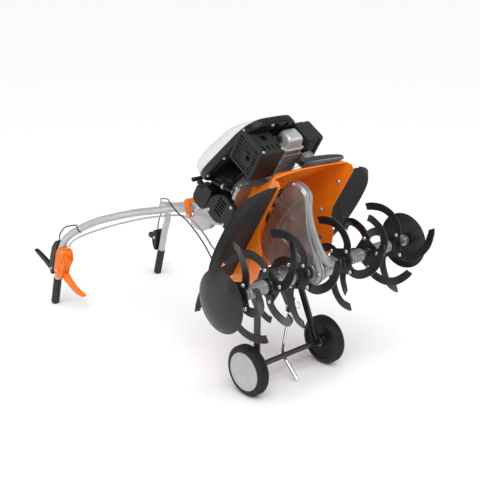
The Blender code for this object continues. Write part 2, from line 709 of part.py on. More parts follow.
def cylinder():
    """Finned barrel lying forward of the crankcase."""
    y, fin, gap = -0.106, 0.0032, 0.0088
    sections = [(-0.0600, 0.026, 0.0080), (y, 0.026, 0.0080)]
    while y > -0.204:
        sections += [(y - 0.0002, 0.039, 0.041), (y - fin, 0.039, 0.041),
                     (y - fin - 0.0002, 0.027, 0.028), (y - fin - gap, 0.027, 0.028)]
        y -= fin + gap
    return block_stack("cylinder", sections[:-1] + [(-0.2155, 0.027, 0.028)], ALUMINIUM)


def valve_cover():
    sections = [(-0.2160, 0.043, 0.036), (-0.2240, 0.043, 0.036), (-0.2242, 0.035, 0.030),
                (-0.2520, 0.033, 0.028), (-0.2600, 0.026, 0.022)]
    return block_stack("valve_cover", sections, ALUMINIUM)


GUARD_LOW, GUARD_HIGH = Vector((-0.153, -0.262, 0.288)), Vector((-0.054, -0.148, 0.410))


def muffler_guard():
    """Louvred box round the muffler, open towards the cylinder and the rear."""
    guard = box("muffler_guard", GUARD_LOW, GUARD_HIGH, DARK_PLASTIC, MACHINE, 0.005, 2)
    wall = 0.0030
    hollow = box("guard_hollow", GUARD_LOW + Vector((wall, wall, wall)),
                 GUARD_HIGH + Vector((0.02, 0.02, -wall)), DARK_PLASTIC, MACHINE)
    cut(guard, hollow)
    for k in range(6):
        y = -0.240 + 0.0155 * k
        cut(guard, box(f"guard_slot_{k}", (-0.16, y, 0.312), (-0.14, y + 0.007, 0.388),
                       DARK_PLASTIC, MACHINE))
    cut(guard, rod("guard_outlet", 0.012, -0.28, -0.24, "y", (-0.100, 0, 0.352), DARK_PLASTIC,
                   MACHINE, 16))
    return guard


def muffler():
    return box("muffler", GUARD_LOW + Vector((0.009, 0.012, 0.010)),
               GUARD_HIGH + Vector((-0.016, -0.006, -0.010)), STEEL, MACHINE, 0.010, 2)


def air_filter_box():
    return box("air_filter_box", (0.078, -0.254, 0.316), (0.150, -0.144, 0.404), DARK_PLASTIC,
               MACHINE, 0.009, 2)


def carburettor():
    body = box("carburettor", (0.078, -0.205, 0.284), (0.112, -0.150, 0.3155), ALUMINIUM, MACHINE,
               0.004)
    bowl = rod("float_bowl", 0.013, 0.272, 0.290, "z", (0.095, -0.180, 0), ALUMINIUM, MACHINE)
    return join(body, bowl)


SHROUD_SLOPE = 0.324
SHROUD_PLAN = [(-0.152, -0.060), (-0.150, -0.240), (-0.136, -0.284), (-0.100, -0.306),
               (0.000, -0.304), (0.035, -0.296), (0.070, -0.262), (0.073, -0.141),
               (0.128, -0.128), (0.146, -0.050), (0.130, 0.022), (0.090, 0.046), (-0.090, 0.046),
               (-0.132, 0.026), (-0.148, -0.012)]
RIM_DEPTH = 0.026


def shroud_level(y):
    """Height of the tilted plane that the engine's covers meet on."""
    return 0.394 + SHROUD_SLOPE * (y + 0.307)


def shroud_ring(scale, lift, centre=(0.0, -0.10)):
    ring_points = []
    for x, y in SHROUD_PLAN:
        nx, ny = centre[0] + (x - centre[0]) * scale, centre[1] + (y - centre[1]) * scale
        ring_points.append((nx, ny, shroud_level(ny) + lift))
    return ring_points


def blower_housing():
    """Black cowl: a tilted rimmed plate on a drum round the flywheel."""
    housing = loft("blower_housing", [shroud_ring(1, -RIM_DEPTH), shroud_ring(1, 0.0)],
                   BLACK_PLASTIC, MACHINE)
    dish = loft("housing_dish", [shroud_ring(0.955, 0.0045 - RIM_DEPTH), shroud_ring(0.955, 0.06)],
                BLACK_PLASTIC, MACHINE)
    cut(housing, dish)
    drum = rod("housing_drum", 0.0880, 0.4108, 0.640, "z", (0, CRANK_Y, 0), BLACK_PLASTIC,
               MACHINE, 20)
    above = loft("drum_trim", [shroud_ring(1.5, 0.003 - RIM_DEPTH), shroud_ring(1.5, 0.30)],
                 BLACK_PLASTIC, MACHINE)
    cut(drum, above)
    join(housing, drum)
    chamber = rod("drum_chamber", 0.0840, 0.40, 0.4410, "z", (0, CRANK_Y, 0), BLACK_PLASTIC,
                  MACHINE, 20)
    intake = rod("drum_intake", 0.045, 0.43, 0.60, "z", (0, CRANK_Y, 0), BLACK_PLASTIC,
                 MACHINE, 16)
    cut(housing, chamber, intake)
    notch = box("guard_room", GUARD_LOW - Vector((0.004, 0.004, 0)),
                GUARD_HIGH + Vector((0.004, 0.004, 0.004)), BLACK_PLASTIC, MACHINE)
    return cut(housing, notch)


def flywheel():
    profile = [(0.078, 0.4360), (0.078, 0.4160), (0.0125, 0.4160), (0.0125, 0.4360)]
    return turned("flywheel", profile, "z", (0, CRANK_Y, 0), ALUMINIUM, MACHINE, 20)


def dome_ring(scale, lift):
    """One level of the hood, which sinks to the rim plane towards its front."""
    ring = []
    for x, y, z in shroud_ring(scale, 0.0):
        rise = sin(0.5 * pi * min(1.0, max(0.0, (y + 0.310) / 0.20))) ** 0.8
        ring.append((x, y, z + GAP + (lift - GAP) * max(0.12, rise)))
    return ring


def engine_hood():
    """White dome over the cowl."""
    outer = [(1.0, GAP), (0.996, 0.014), (0.966, 0.034), (0.900, 0.049), (0.78, 0.060),
             (0.50, 0.068)]
    hood = loft("engine_hood", [dome_ring(s, h) for s, h in outer], WHITE_PLASTIC, MACHINE)
    inner = [(0.965, -0.04), (0.960, 0.012), (0.930, 0.030), (0.866, 0.0445), (0.75, 0.0550),
             (0.48, 0.0625)]
    hollow = loft("hood_hollow", [dome_ring(s, h) for s, h in inner], WHITE_PLASTIC, MACHINE)
    return smooth(cut(hood, hollow), 50)


def fuel_tank():
    """Tank wrapped round the rear of the flywheel drum, with the starter rope's guide."""
    outline = [(0.040, 0.430), (0.036, 0.466), (0.062, 0.474), (0.068, 0.503), (0.120, 0.503),
               (0.134, 0.488), (0.134, 0.446), (0.118, 0.430)]
    tank = plate("fuel_tank", outline, -0.126, 0.090, BLACK_PLASTIC, MACHINE)
    guide = box("rope_guide", (-0.108, 0.068, 0.495), (-0.092, 0.084, 0.5240), BLACK_PLASTIC,
                MACHINE)
    room = rod("tank_room", 0.0886, 0.40, 0.60, "z", (0, CRANK_Y, 0), BLACK_PLASTIC, MACHINE, 20)
    return cut(join(tank, guide), room)


def fuel_cap():
    return rod("fuel_cap", 0.0200, 0.5034, 0.5240, "z", (-0.060, 0.108, 0), BLACK_PLASTIC,
               MACHINE, 20, 0.003)


def rear_fairing():
    """Curved black cover round the left and the back of the crankcase."""
    outline = [(0.000, 0.3446), (0.003, 0.380), (0.026, 0.408), (0.056, 0.428), (0.104, 0.428),
               (0.118, 0.404), (0.118, 0.366), (0.106, 0.3446)]
    fairing = plate("rear_fairing", outline, -0.126, 0.060, BLACK_PLASTIC, MACHINE)
    skirt = box("fairing_skirt", (-0.1262, 0.004, 0.312), (-0.1100, 0.104, 0.380), BLACK_PLASTIC,
                MACHINE)
    join(fairing, skirt)
    low = rod("fairing_room", 0.0805, 0.33, 0.43, "z", (0, CRANK_Y, 0), BLACK_PLASTIC, MACHINE, 28)
    high = rod("fairing_drum_room", 0.0890, 0.4100, 0.60, "z", (0, CRANK_Y, 0), BLACK_PLASTIC,
               MACHINE, 20)
    return cut(fairing, low, high)


def oil_filler_tube():
    points = [(-0.1120, -0.0325, 0.3456), (-0.1120, -0.0320, 0.3520), (-0.1120, -0.0160, 0.3900),
              (-0.1120, 0.0060, 0.4420), (-0.1120, 0.0100, 0.4520)]
    return smooth(tube("oil_filler_tube", points, 0.0075, BLACK_PLASTIC, MACHINE, 3))


def starter_grip():
    return rod("starter_grip", 0.0085, -0.022, 0.022, "x", (-0.100, 0.076, 0.5330), BLACK_PLASTIC,
               MACHINE, 16, 0.003)


# ---------------------------------------------------------------- handlebar
def on_bar(distance, side=0.0, across=0.0):
    """Place along the main tube from the hinge: (x, y, z) in the machine frame."""
    return (side, BAR_PIVOT[0] + distance * BAR_DIRECTION[0] + across * BAR_DIRECTION[1],
            BAR_PIVOT[1] + distance * BAR_DIRECTION[1] - across * BAR_DIRECTION[0])


BAR_DIRECTION = (0.679, 0.734)


def handlebar_bracket():
    """Fork on the deck with the toothed sectors that the handlebar locks in."""
    sector = arc(*BAR_PIVOT, 0.085, -88, 2, 6)
    outline = ([(0.108, DECK_Z + GAP), (0.196, DECK_Z + GAP), (0.206, 0.405)] + sector
               + arc(*BAR_PIVOT, 0.020, 60, 150, 3) + [(0.150, 0.425)])
    bracket = plate("handlebar_bracket", outline, -0.0150, -0.0110, SILVER_PAINT, MACHINE)
    other = plate("bracket_right", outline, 0.0110, 0.0150, SILVER_PAINT, MACHINE)
    foot = box("bracket_foot", (-0.024, 0.110, DECK_Z + GAP), (0.045, 0.194, 0.342),
               SILVER_PAINT, MACHINE)
    return join(bracket, other, foot)


def handlebar():
    """Main tube with a tongue at the hinge, and two arms bent down to the grips."""
    main = tube("handlebar", [to_floor(on_bar(0.045)), to_floor(on_bar(0.080)), (0, 0.590, 0.4790)],
                MAIN_TUBE_R, SILVER_PAINT, FLOOR, 4)
    tongue = loft("tongue", [[to_floor(on_bar(d, x, a)) for x, a in
                              ((-0.0100, -0.013), (0.0100, -0.013), (0.0100, 0.013),
                               (-0.0100, 0.013))] for d in (-0.014, 0.055)],
                  SILVER_PAINT, FLOOR)
    join(main, tongue)
    for side in (-1, 1):
        join(main, tube(f"arm_{side + 1}", arm_path(side), TUBE_R, SILVER_PAINT, FLOOR, 3))
    return smooth(main)


def arm_path(side):
    knots = [(0.006, 0.568, 0.4850), (0.020, 0.610, 0.4740), (0.040, 0.660, 0.4600),
             (0.073, 0.765, 0.4330), (0.112, 0.842, 0.4080), (0.160, 0.915, 0.3800),
             (0.213, 0.966, 0.3460), (0.248, 1.000, 0.3120), (0.262, 1.022, 0.2700),
             tuple(grip_point(1, 0.2316))]
    path = [Vector((side * x, y, z)) for x, y, z in knots]
    return path + [grip_point(side, 0.170), grip_point(side, 0.010)]


def grip_point(side, distance):
    """Point on a grip's axis, measured up from its lower end."""
    foot, lean = Vector((side * GRIP_X, 1.1100, 0.0048)), Vector((0, -0.2955, 0.9553))
    return foot + lean * distance


def to_floor(point):
    """From the machine frame to the floor frame."""
    x, y, z = point
    return (x, AXLE_Y + y * cos(LEAN) + z * sin(LEAN), AXLE_Z - y * sin(LEAN) + z * cos(LEAN))


def grip(name, side):
    inner = TUBE_R + 0.0006
    profile = [(GRIP_R, GRIP_LENGTH), (GRIP_R + 0.001, GRIP_LENGTH - 0.004),
               (GRIP_R, GRIP_LENGTH - 0.008), (GRIP_R, 0.003), (GRIP_R - 0.002, 0.0), (0, 0.0),
               (0, 0.006), (inner, 0.006), (inner, GRIP_LENGTH)]
    handle = turned(name, profile, "z", grip_point(side, 0), RUBBER, FLOOR, 24)
    handle.rotation_euler = (radians(17.19), 0, 0)
    return smooth(handle)


def tube_bore(name, radius):
    """Clearance along the lower part of the left arm, wide enough for its flat sides."""
    return tube(name, arm_path(-1)[5:], radius, BLACK_PLASTIC, FLOOR, 3)


def handlebar_clamp():
    """Orange collar on the main tube, straddling the sector plates."""
    half, low, high = 0.0270, -0.034, 0.036
    corners = [(-half, low), (half, low), (half, high), (-half, high)]
    clamp = loft("handlebar_clamp",
                 [[to_floor(on_bar(d, x, a)) for x, a in corners] for d in (0.040, 0.066)],
                 ORANGE_PLASTIC, FLOOR)
    bore = tube("clamp_bore", [to_floor(on_bar(0.0)), to_floor(on_bar(0.12))],
                MAIN_TUBE_R + 0.0006, ORANGE_PLASTIC, FLOOR, 6)
    slot_corners = [(-0.0165, 0.0), (0.0165, 0.0), (0.0165, 0.1), (-0.0165, 0.1)]
    slot = loft("clamp_slot",
                [[to_floor(on_bar(d, x, a)) for x, a in slot_corners] for d in (0.0, 0.2)],
                ORANGE_PLASTIC, FLOOR)
    return cut(clamp, bore, slot)


def lever_housing():
    """Orange housing of the clutch lever, round the left arm above the grip."""
    outline = [(0.958, 0.272), (0.951, 0.222), (1.000, 0.180), (1.022, 0.150), (1.070, 0.152),
               (1.078, 0.176), (1.060, 0.222), (1.046, 0.262), (1.020, 0.290), (0.990, 0.280)]
    housing = plate("lever_housing", outline, -GRIP_X - 0.0185, -GRIP_X + 0.0185, ORANGE_PLASTIC,
                    FLOOR)
    round_edges(housing, 0.003)
    return cut(housing, tube_bore("left_housing_bore", TUBE_R + 0.0018))


def switch_housing():
    """Black housing of the stop switch, behind the left arm."""
    outline = [(1.064, 0.232), (1.082, 0.178), (1.098, 0.136), (1.112, 0.140), (1.116, 0.160),
               (1.098, 0.212), (1.074, 0.262), (1.052, 0.286), (1.040, 0.292), (1.030, 0.284),
               (1.046, 0.270)]
    housing = plate("switch_housing", outline, -GRIP_X - 0.0135, -GRIP_X + 0.0135, BLACK_PLASTIC,
                    FLOOR)
    round_edges(housing, 0.003)
    return cut(housing, tube_bore("left_switch_bore", TUBE_R + 0.0018))


def lever(name, outline, x, half, material):
    handle = plate(name, outline, x - half, x + half, material, FLOOR)
    round_edges(handle, 0.002)
    return handle


def clutch_lever():
    """Orange lever ahead of the left grip."""
    outline = [(1.016, 0.148), (1.020, 0.134), (0.990, 0.122), (0.950, 0.106), (0.910, 0.098),
               (0.874, 0.098), (0.870, 0.108), (0.905, 0.114), (0.940, 0.126), (0.972, 0.146),
               (0.992, 0.164), (1.004, 0.166)]
    return lever("clutch_lever", outline, -GRIP_X, 0.0085, ORANGE_PLASTIC)


def stop_lever():
    """Black safety lever behind the left grip."""
    outline = [(1.1180, 0.1556), (1.1290, 0.1480), (1.160, 0.164), (1.205, 0.181), (1.242, 0.196),
               (1.240, 0.206), (1.200, 0.197), (1.156, 0.183), (1.130, 0.172), (1.1180, 0.1604)]
    return lever("stop_lever", outline, -GRIP_X, 0.0080, BLACK_PLASTIC)


def throttle_body():
    """Round throttle control behind the right arm."""
    outline = [(1.0770, 0.205), (1.0920, 0.214), (1.1080, 0.206), (1.1180, 0.180),
               (1.1165, 0.148), (1.1080, 0.124), (1.0960, 0.114), (1.0900, 0.128),
               (1.0800, 0.180)]
    body = plate("throttle_body", outline, GRIP_X - 0.0200, GRIP_X + 0.0200, BLACK_PLASTIC, FLOOR)
    round_edges(body, 0.004, 2)
    bore = tube("throttle_bore", [grip_point(1, -0.02), grip_point(1, 0.13)], GRIP_R + 0.0022,
                BLACK_PLASTIC, FLOOR, 4)
    arm = tube("throttle_arm_bore", [grip_point(1, 0.10), (GRIP_X, 1.040, 0.2260)],
               TUBE_R + 0.0008, BLACK_PLASTIC, FLOOR, 4)
    return cut(body, bore, arm)


def throttle_lever():
    outline = [(1.1192, 0.1664), (1.1300, 0.160), (1.1560, 0.160), (1.1640, 0.170),
               (1.1560, 0.186), (1.1400, 0.184), (1.1300, 0.176), (1.1192, 0.1700)]
    return lever("throttle_lever", outline, GRIP_X, 0.0060, BLACK_PLASTIC)


CLUTCH_CABLE = [(-0.2630, 0.9700, 0.2850), (-0.2560, 0.9560, 0.3000), (-0.2300, 0.9200, 0.3080),
                (-0.1800, 0.8700, 0.3220), (-0.1200, 0.7900, 0.3600), (-0.0600, 0.6800, 0.4150),
                (-0.0460, 0.6000, 0.4500), (-0.0440, 0.5300, 0.4700), (-0.0466, 0.4800, 0.4738)]
CLUTCH_CABLE_END = [(-0.0480, 0.4620, 0.4733), (-0.0560, 0.4100, 0.4600), (-0.0700, 0.3500, 0.4400),
                    (-0.0900, 0.2950, 0.4250), (-0.1000, 0.2600, 0.4180)]
THROTTLE_CABLE = [(0.2630, 1.0970, 0.2160), (0.2600, 1.0800, 0.2620), (0.2440, 1.0360, 0.3180),
                  (0.1950, 0.9720, 0.3820), (0.1150, 0.8620, 0.4320), (0.0300, 0.7000, 0.4800),
                  (-0.0300, 0.6100, 0.5000), (-0.0600, 0.5300, 0.4890), (-0.0650, 0.4810, 0.4770)]
THROTTLE_CABLE_END = [(-0.0664, 0.4620, 0.4718), (-0.0740, 0.4000, 0.4450),
                      (-0.0900, 0.3300, 0.4150), (-0.1160, 0.2600, 0.3900)]
SWITCH_WIRE = [(-0.2630, 1.0380, 0.2960), (-0.2610, 1.0340, 0.3200), (-0.2450, 1.0160, 0.3500),
               (-0.2140, 0.9790, 0.3610)]


def cable(name, route, radius, material):
    return smooth(tube(name, smooth_path(route, 3), radius, material, FLOOR, 2))


# ---------------------------------------------------------------- assembly
chassis_shell()
nose_cover()
for side, word in ((-1, "left"), (1, "right")):
    fender("fender_" + word, side)
    gear_case_half("gear_case_" + word, side)
    side_disc("side_disc_" + word, side)
    coupling("coupling_" + word, side)
    tyre("tyre_" + word, side)
    rim("rim_" + word, side)
    grip("grip_" + word, side)
drive_chain()
worm_wheel()
tine_shaft()
driven_pulley()
crankshaft()
drive_belt()
STARS = [(-STAR_X[2], 45, (-1, 1)), (-STAR_X[1], 1, (1, -1)), (-STAR_X[0], 45, (0.75, -0.95)),
         (STAR_X[0], 45, (0.9, -0.6)), (STAR_X[1], 1, (-1, 1)), (STAR_X[2], 45, (1, -1))]
for number, (x, phase, bends) in enumerate(STARS, 1):
    tine_star(f"tine_star_{number}", x, phase, bends)
wheel_carriage()
drag_spur()
engine_base()
crankcase()
cylinder()
valve_cover()
muffler_guard()
muffler()
air_filter_box()
carburettor()
blower_housing()
flywheel()
engine_hood()
fuel_tank()
fuel_cap()
rear_fairing()
oil_filler_tube()
starter_grip()
handlebar_bracket()
handlebar()
handlebar_clamp()
lever_housing()
switch_housing()
clutch_lever()
stop_lever()
throttle_body()
throttle_lever()
cable("clutch_cable", CLUTCH_CABLE, 0.0036, CABLE_GREY)
cable("clutch_cable_end", CLUTCH_CABLE_END, 0.0036, CABLE_GREY)
cable("throttle_cable", THROTTLE_CABLE, 0.0026, BLACK_PLASTIC)
cable("throttle_cable_end", THROTTLE_CABLE_END, 0.0026, BLACK_PLASTIC)
cable("switch_wire", SWITCH_WIRE, 0.0026, BLACK_PLASTIC)
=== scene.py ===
"""Looks of a front-tine garden tiller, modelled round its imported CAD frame."""
import json
from math import cos, pi, radians, sin

import bmesh
import bpy
from mathutils import Matrix, Vector


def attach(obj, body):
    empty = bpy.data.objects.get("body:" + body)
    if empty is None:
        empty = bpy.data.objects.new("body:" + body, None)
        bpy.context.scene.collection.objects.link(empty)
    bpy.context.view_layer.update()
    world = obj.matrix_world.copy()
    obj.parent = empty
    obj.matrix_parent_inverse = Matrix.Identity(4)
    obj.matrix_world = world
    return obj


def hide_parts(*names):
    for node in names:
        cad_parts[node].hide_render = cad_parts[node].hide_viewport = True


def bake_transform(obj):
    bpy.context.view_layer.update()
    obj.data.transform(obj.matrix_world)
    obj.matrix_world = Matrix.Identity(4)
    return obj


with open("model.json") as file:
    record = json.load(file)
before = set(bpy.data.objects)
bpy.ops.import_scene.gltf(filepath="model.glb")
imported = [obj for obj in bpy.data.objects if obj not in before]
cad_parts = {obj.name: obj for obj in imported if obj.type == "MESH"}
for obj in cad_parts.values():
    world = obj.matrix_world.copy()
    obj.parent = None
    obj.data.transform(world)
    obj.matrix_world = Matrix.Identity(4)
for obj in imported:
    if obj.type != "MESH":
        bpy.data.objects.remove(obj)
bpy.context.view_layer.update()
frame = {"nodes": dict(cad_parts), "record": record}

# ---------------------------------------------------------------- driving values
LEAN = radians(58.5)                 # how far the machine is tipped back
AXLE_Y, AXLE_Z = -0.1403, 0.4405     # tine axle above the floor, ahead of the wheels
CENTRE_Y = 0.4731                    # moves the whole object over its own origin
FLOOR = Matrix.Translation((0, -CENTRE_Y, 0))
MACHINE = (FLOOR @ Matrix.Translation((0, AXLE_Y, AXLE_Z))
           @ Matrix.Rotation(-LEAN, 4, "X"))
TO_MACHINE = MACHINE.inverted() @ FLOOR

CHASSIS_HALF, SHEET = 0.165, 0.0025
DISC_X, DISC_R = 0.43, 0.098
STAR_X = (0.098, 0.224, 0.350)
WHEEL_R, WHEEL_X, TYRE_WIDTH, RIM_R = 0.0876, 0.181, 0.044, 0.066
CASE_X, CASE_HALF, HUB_END_X = -0.034, 0.018, 0.055
DOME_Y, DOME_Z, DOME_R = -0.138, 0.172, 0.066
LOBE_Y, LOBE_Z, LOBE_R = 0.070, 0.125, 0.052
BOSS_R = 0.043
CRANK_Y, DECK_Z = 0.02, 0.330
PIVOT_Y, PIVOT_Z = 0.155, 0.142
BAR_PIVOT, BAR_DIRECTION = (0.255, 0.545), (0.679, 0.734)
GRIP_X, GRIP_R, GRIP_LENGTH = 0.263, 0.0165, 0.122
TUBE_R, MAIN_TUBE_R = 0.0145, 0.0205
SIDES = ((-1, "left"), (1, "right"))


# ---------------------------------------------------------------- materials
def surface(name, colour, roughness, metallic=0.0, mottle=0.15, grain=0.0004, grain_scale=900.0,
            coat=0.0, worn=None, worn_amount=0.0, stretch=(1, 1, 1), sheen=0.5):
    """Procedural finish: mottled colour and gloss, fine grain, and worn specks."""
    material = bpy.data.materials.new(name)
    material.use_nodes = True
    nodes, links = material.node_tree.nodes, material.node_tree.links
    shader = nodes["Principled BSDF"]
    shader.inputs["Metallic"].default_value = metallic
    shader.inputs["Coat Weight"].default_value = coat
    shader.inputs["Coat Roughness"].default_value = 0.12
    shader.inputs["Specular IOR Level"].default_value = sheen
    place = nodes.new("ShaderNodeTexCoord")
    scale = nodes.new("ShaderNodeMapping")
    scale.inputs["Scale"].default_value = stretch
    links.new(place.outputs["Object"], scale.inputs["Vector"])

    def noise(frequency, detail):
        node = nodes.new("ShaderNodeTexNoise")
        node.inputs["Scale"].default_value = frequency
        node.inputs["Detail"].default_value = detail
        links.new(scale.outputs["Vector"], node.inputs["Vector"])
        return node.outputs["Fac"]

    def spread(source, low, high, to_low, to_high):
        node = nodes.new("ShaderNodeMapRange")
        for socket, value in zip(("From Min", "From Max", "To Min", "To Max"),
                                 (low, high, to_low, to_high)):
            node.inputs[socket].default_value = value
        links.new(source, node.inputs["Value"])
        return node.outputs["Result"]

    def mix(factor, first, second):
        node = nodes.new("ShaderNodeMix")
        node.data_type = "RGBA"
        links.new(factor, node.inputs["Factor"])
        for socket, value in zip(("A", "B"), (first, second)):
            target = [i for i in node.inputs if i.name == socket and i.type == "RGBA"][0]
            if isinstance(value, tuple):
                target.default_value = (*value, 1)
            else:
                links.new(value, target)
        return [o for o in node.outputs if o.type == "RGBA"][0]

    soft = noise(26.0, 4.0)
    tint = mix(spread(soft, 0.35, 0.65, 0, 1),
               tuple(c * (1 - mottle) for c in colour),
               tuple(min(1.0, c * (1 + mottle)) for c in colour))
    if worn:
        specks = spread(noise(210.0, 6.0), 0.62, 0.70, 0, worn_amount)
        tint = mix(specks, tint, worn)
    links.new(tint, shader.inputs["Base Color"])
    gloss = spread(noise(75.0, 5.0), 0.3, 0.7, roughness * 0.85, min(1.0, roughness * 1.2))
    links.new(gloss, shader.inputs["Roughness"])
    bump = nodes.new("ShaderNodeBump")
    bump.inputs["Strength"].default_value = 0.6
    bump.inputs["Distance"].default_value = grain
    links.new(noise(grain_scale, 3.0), bump.inputs["Height"])
    links.new(bump.outputs["Normal"], shader.inputs["Normal"])
    return material


ORANGE = surface("orange_powder_coat", (0.86, 0.195, 0.004), 0.38, 0.0, 0.04, 0.00018, 700,
                 coat=0.15, worn=(0.55, 0.16, 0.02), worn_amount=0.25)
DARK_PLASTIC = surface("dark_grey_moulding", (0.021, 0.0215, 0.023), 0.52, 0.0, 0.10, 0.0003, 1300,
                       sheen=0.16)
BLACK_PLASTIC = surface("black_moulding", (0.007, 0.007, 0.0075), 0.36, 0.0, 0.15, 0.0002, 1100,
                        sheen=0.25)
GLOSS_BLACK = surface("gloss_black_moulding", (0.016, 0.016, 0.018), 0.14, 0.0, 0.1, 0.00008, 300,
                      coat=0.5)
WHITE_PLASTIC = surface("white_moulding", (0.66, 0.66, 0.66), 0.30, 0.0, 0.01, 0.00002, 500,
                        coat=0.2)
ORANGE_PLASTIC = surface("orange_moulding", (0.80, 0.155, 0.002), 0.38, 0.0, 0.04, 0.0002, 900,
                         sheen=0.25)
BLACK_STEEL = surface("black_painted_steel", (0.010, 0.010, 0.011), 0.30, 0.1, 0.15, 0.0002, 600,
                      coat=0.1, worn=(0.09, 0.085, 0.08), worn_amount=0.5)
TINE_STEEL = surface("tine_spring_steel", (0.025, 0.025, 0.027), 0.34, 0.55, 0.10, 0.0002, 500,
                     worn=(0.07, 0.069, 0.067), worn_amount=0.15)
ALUMINIUM = surface("sand_cast_aluminium", (0.31, 0.31, 0.315), 0.34, 0.60, 0.14, 0.0006, 650,
                    worn=(0.28, 0.27, 0.26), worn_amount=0.25)
STEEL = surface("zinc_plated_steel", (0.56, 0.56, 0.55), 0.30, 0.85, 0.08, 0.0002, 900,
                worn=(0.40, 0.38, 0.35), worn_amount=0.15)
CHROME = surface("polished_chrome", (0.80, 0.80, 0.81), 0.09, 1.0, 0.04, 0.00006, 300)
SILVER_PAINT = surface("silver_tube_paint", (0.46, 0.46, 0.47), 0.32, 0.40, 0.01, 0.00001, 900,
                       coat=0.2)
RUBBER = surface("grip_rubber", (0.010, 0.010, 0.0105), 0.55, 0.0, 0.2, 0.0003, 1500)
TYRE = surface("tyre_rubber", (0.012, 0.012, 0.0125), 0.60, 0.0, 0.25, 0.0004, 700,
               worn=(0.03, 0.029, 0.028), worn_amount=0.5, sheen=0.35)
HUBCAP_GREY = surface("light_grey_moulding", (0.47, 0.47, 0.48), 0.36, 0.0, 0.06, 0.0003, 900)
CABLE_GREY = surface("ribbed_cable_sheath", (0.36, 0.36, 0.38), 0.38, 0.3, 0.1, 0.0002, 1200)
SLOT_FINISH = {
    "orange_paint": ORANGE, "dark_plastic": DARK_PLASTIC, "black_plastic": BLACK_PLASTIC,
    "gloss_black": GLOSS_BLACK, "white_plastic": WHITE_PLASTIC, "orange_plastic": ORANGE_PLASTIC,
    "black_steel": BLACK_STEEL, "tine_steel": TINE_STEEL, "cast_aluminium": ALUMINIUM,
    "bright_steel": STEEL, "chrome": CHROME, "silver_paint": SILVER_PAINT, "rubber": RUBBER,
    "tyre": TYRE, "hubcap_grey": HUBCAP_GREY, "cable_grey": CABLE_GREY}


# ---------------------------------------------------------------- building blocks
def skin(verts, faces):
    """A bmesh from points and index lists, its faces turned outwards."""
    bm = bmesh.new()
    points = [bm.verts.new(v) for v in verts]
    for face in faces:
        bm.faces.new([points[i] for i in face])
    bmesh.ops.recalc_face_normals(bm, faces=bm.faces[:])
    return bm


def loft(rings, capped=True):
    """Join rings of equally many points into one skin."""
    count = len(rings[0])
    verts = [Vector(p) for ring in rings for p in ring]
    faces = []
    for k in range(len(rings) - 1):
        for i in range(count):
            j = (i + 1) % count
            faces.append((k * count + i, k * count + j, (k + 1) * count + j, (k + 1) * count + i))
    if capped:
        faces.append(tuple(reversed(range(count))))
        faces.append(tuple(range((len(rings) - 1) * count, len(rings) * count)))
    return skin(verts, faces)


AXES = {"x": Vector((1, 0, 0)), "y": Vector((0, 1, 0)), "z": Vector((0, 0, 1))}


def lathe(profile, axis="x", centre=(0, 0, 0), sides=64):
    """(radius, height) points turned about an axis; a profile off the axis closes on itself."""
    axis = AXES[axis] if isinstance(axis, str) else Vector(axis).normalized()
    across = axis.orthogonal().normalized()
    other = axis.cross(across)
    centre = Vector(centre)
    bm = bmesh.new()
    rows = []
    for radius, height in profile:
        middle = centre + axis * height
        if radius < 1e-6:
            rows.append([bm.verts.new(middle)])
            continue
        rows.append([bm.verts.new(middle + radius * (across * cos(2 * pi * k / sides)
                                                     + other * sin(2 * pi * k / sides)))
                     for k in range(sides)])
    pairs = list(zip(rows, rows[1:]))
    if profile[0][0] > 1e-6 and profile[-1][0] > 1e-6:
        pairs.append((rows[-1], rows[0]))
    for one, two in pairs:
        for i in range(sides):
            j = (i + 1) % sides
            corners = [one[i % len(one)], one[j % len(one)], two[j % len(two)], two[i % len(two)]]
            corners = list(dict.fromkeys(corners))
            if len(corners) > 2:
                bm.faces.new(corners)
    bmesh.ops.recalc_face_normals(bm, faces=bm.faces[:])
    return bm


def sweep(path, section, up=None, capped=True):
    """Carry a section of (sideways, upward) points along a path."""
    path = [Vector(p) for p in path]
    rings = []
    lift = Vector(up) if up else None
    for k, point in enumerate(path):
        ahead = (path[min(k + 1, len(path) - 1)] - path[max(k - 1, 0)]).normalized()
        if lift is None:
            lift = ahead.orthogonal().normalized()
        side = ahead.cross(Vector(up) if up else lift).normalized()
        lift = side.cross(ahead).normalized()
        rings.append([point + side * u + lift * v for u, v in section])
    return loft(rings, capped)


def circle(radius, sides=20):
    return [(radius * cos(2 * pi * k / sides), radius * sin(2 * pi * k / sides))
            for k in range(sides)]


def tube(path, radius, sides=20):
    return sweep(path, circle(radius, sides))


def slab(outline, low, high, across="x", soft=0.0, steps=2):
    """A flat outline with a thickness, its edges rounded by soft."""
    def at(u, v, level):
        return {"x": (level, u, v), "y": (u, level, v), "z": (u, v, level)}[across]
    bm = loft([[at(u, v, low) for u, v in outline], [at(u, v, high) for u, v in outline]])
    return soften(bm, soft, steps) if soft else bm


def box(low, high, soft=0.0, steps=2):
    (a, b, c), (d, e, f) = low, high
    return slab([(a, b), (d, b), (d, e), (a, e)], c, f, "z", soft, steps)


def soften(bm, width, steps=2, angle=28):
    """Round the sharp edges of a skin."""
    edges = [e for e in bm.edges if len(e.link_faces) == 2 and e.calc_face_angle() > radians(angle)]
    bmesh.ops.bevel(bm, geom=edges, offset=width, segments=steps, profile=0.5, affect="EDGES",
                    clamp_overlap=True)
    return bm


def as_object(bm):
    mesh = bpy.data.meshes.new("scratch")
    bm.to_mesh(mesh)
    bm.free()
    thing = bpy.data.objects.new("scratch", mesh)
    bpy.context.scene.collection.objects.link(thing)
    return thing


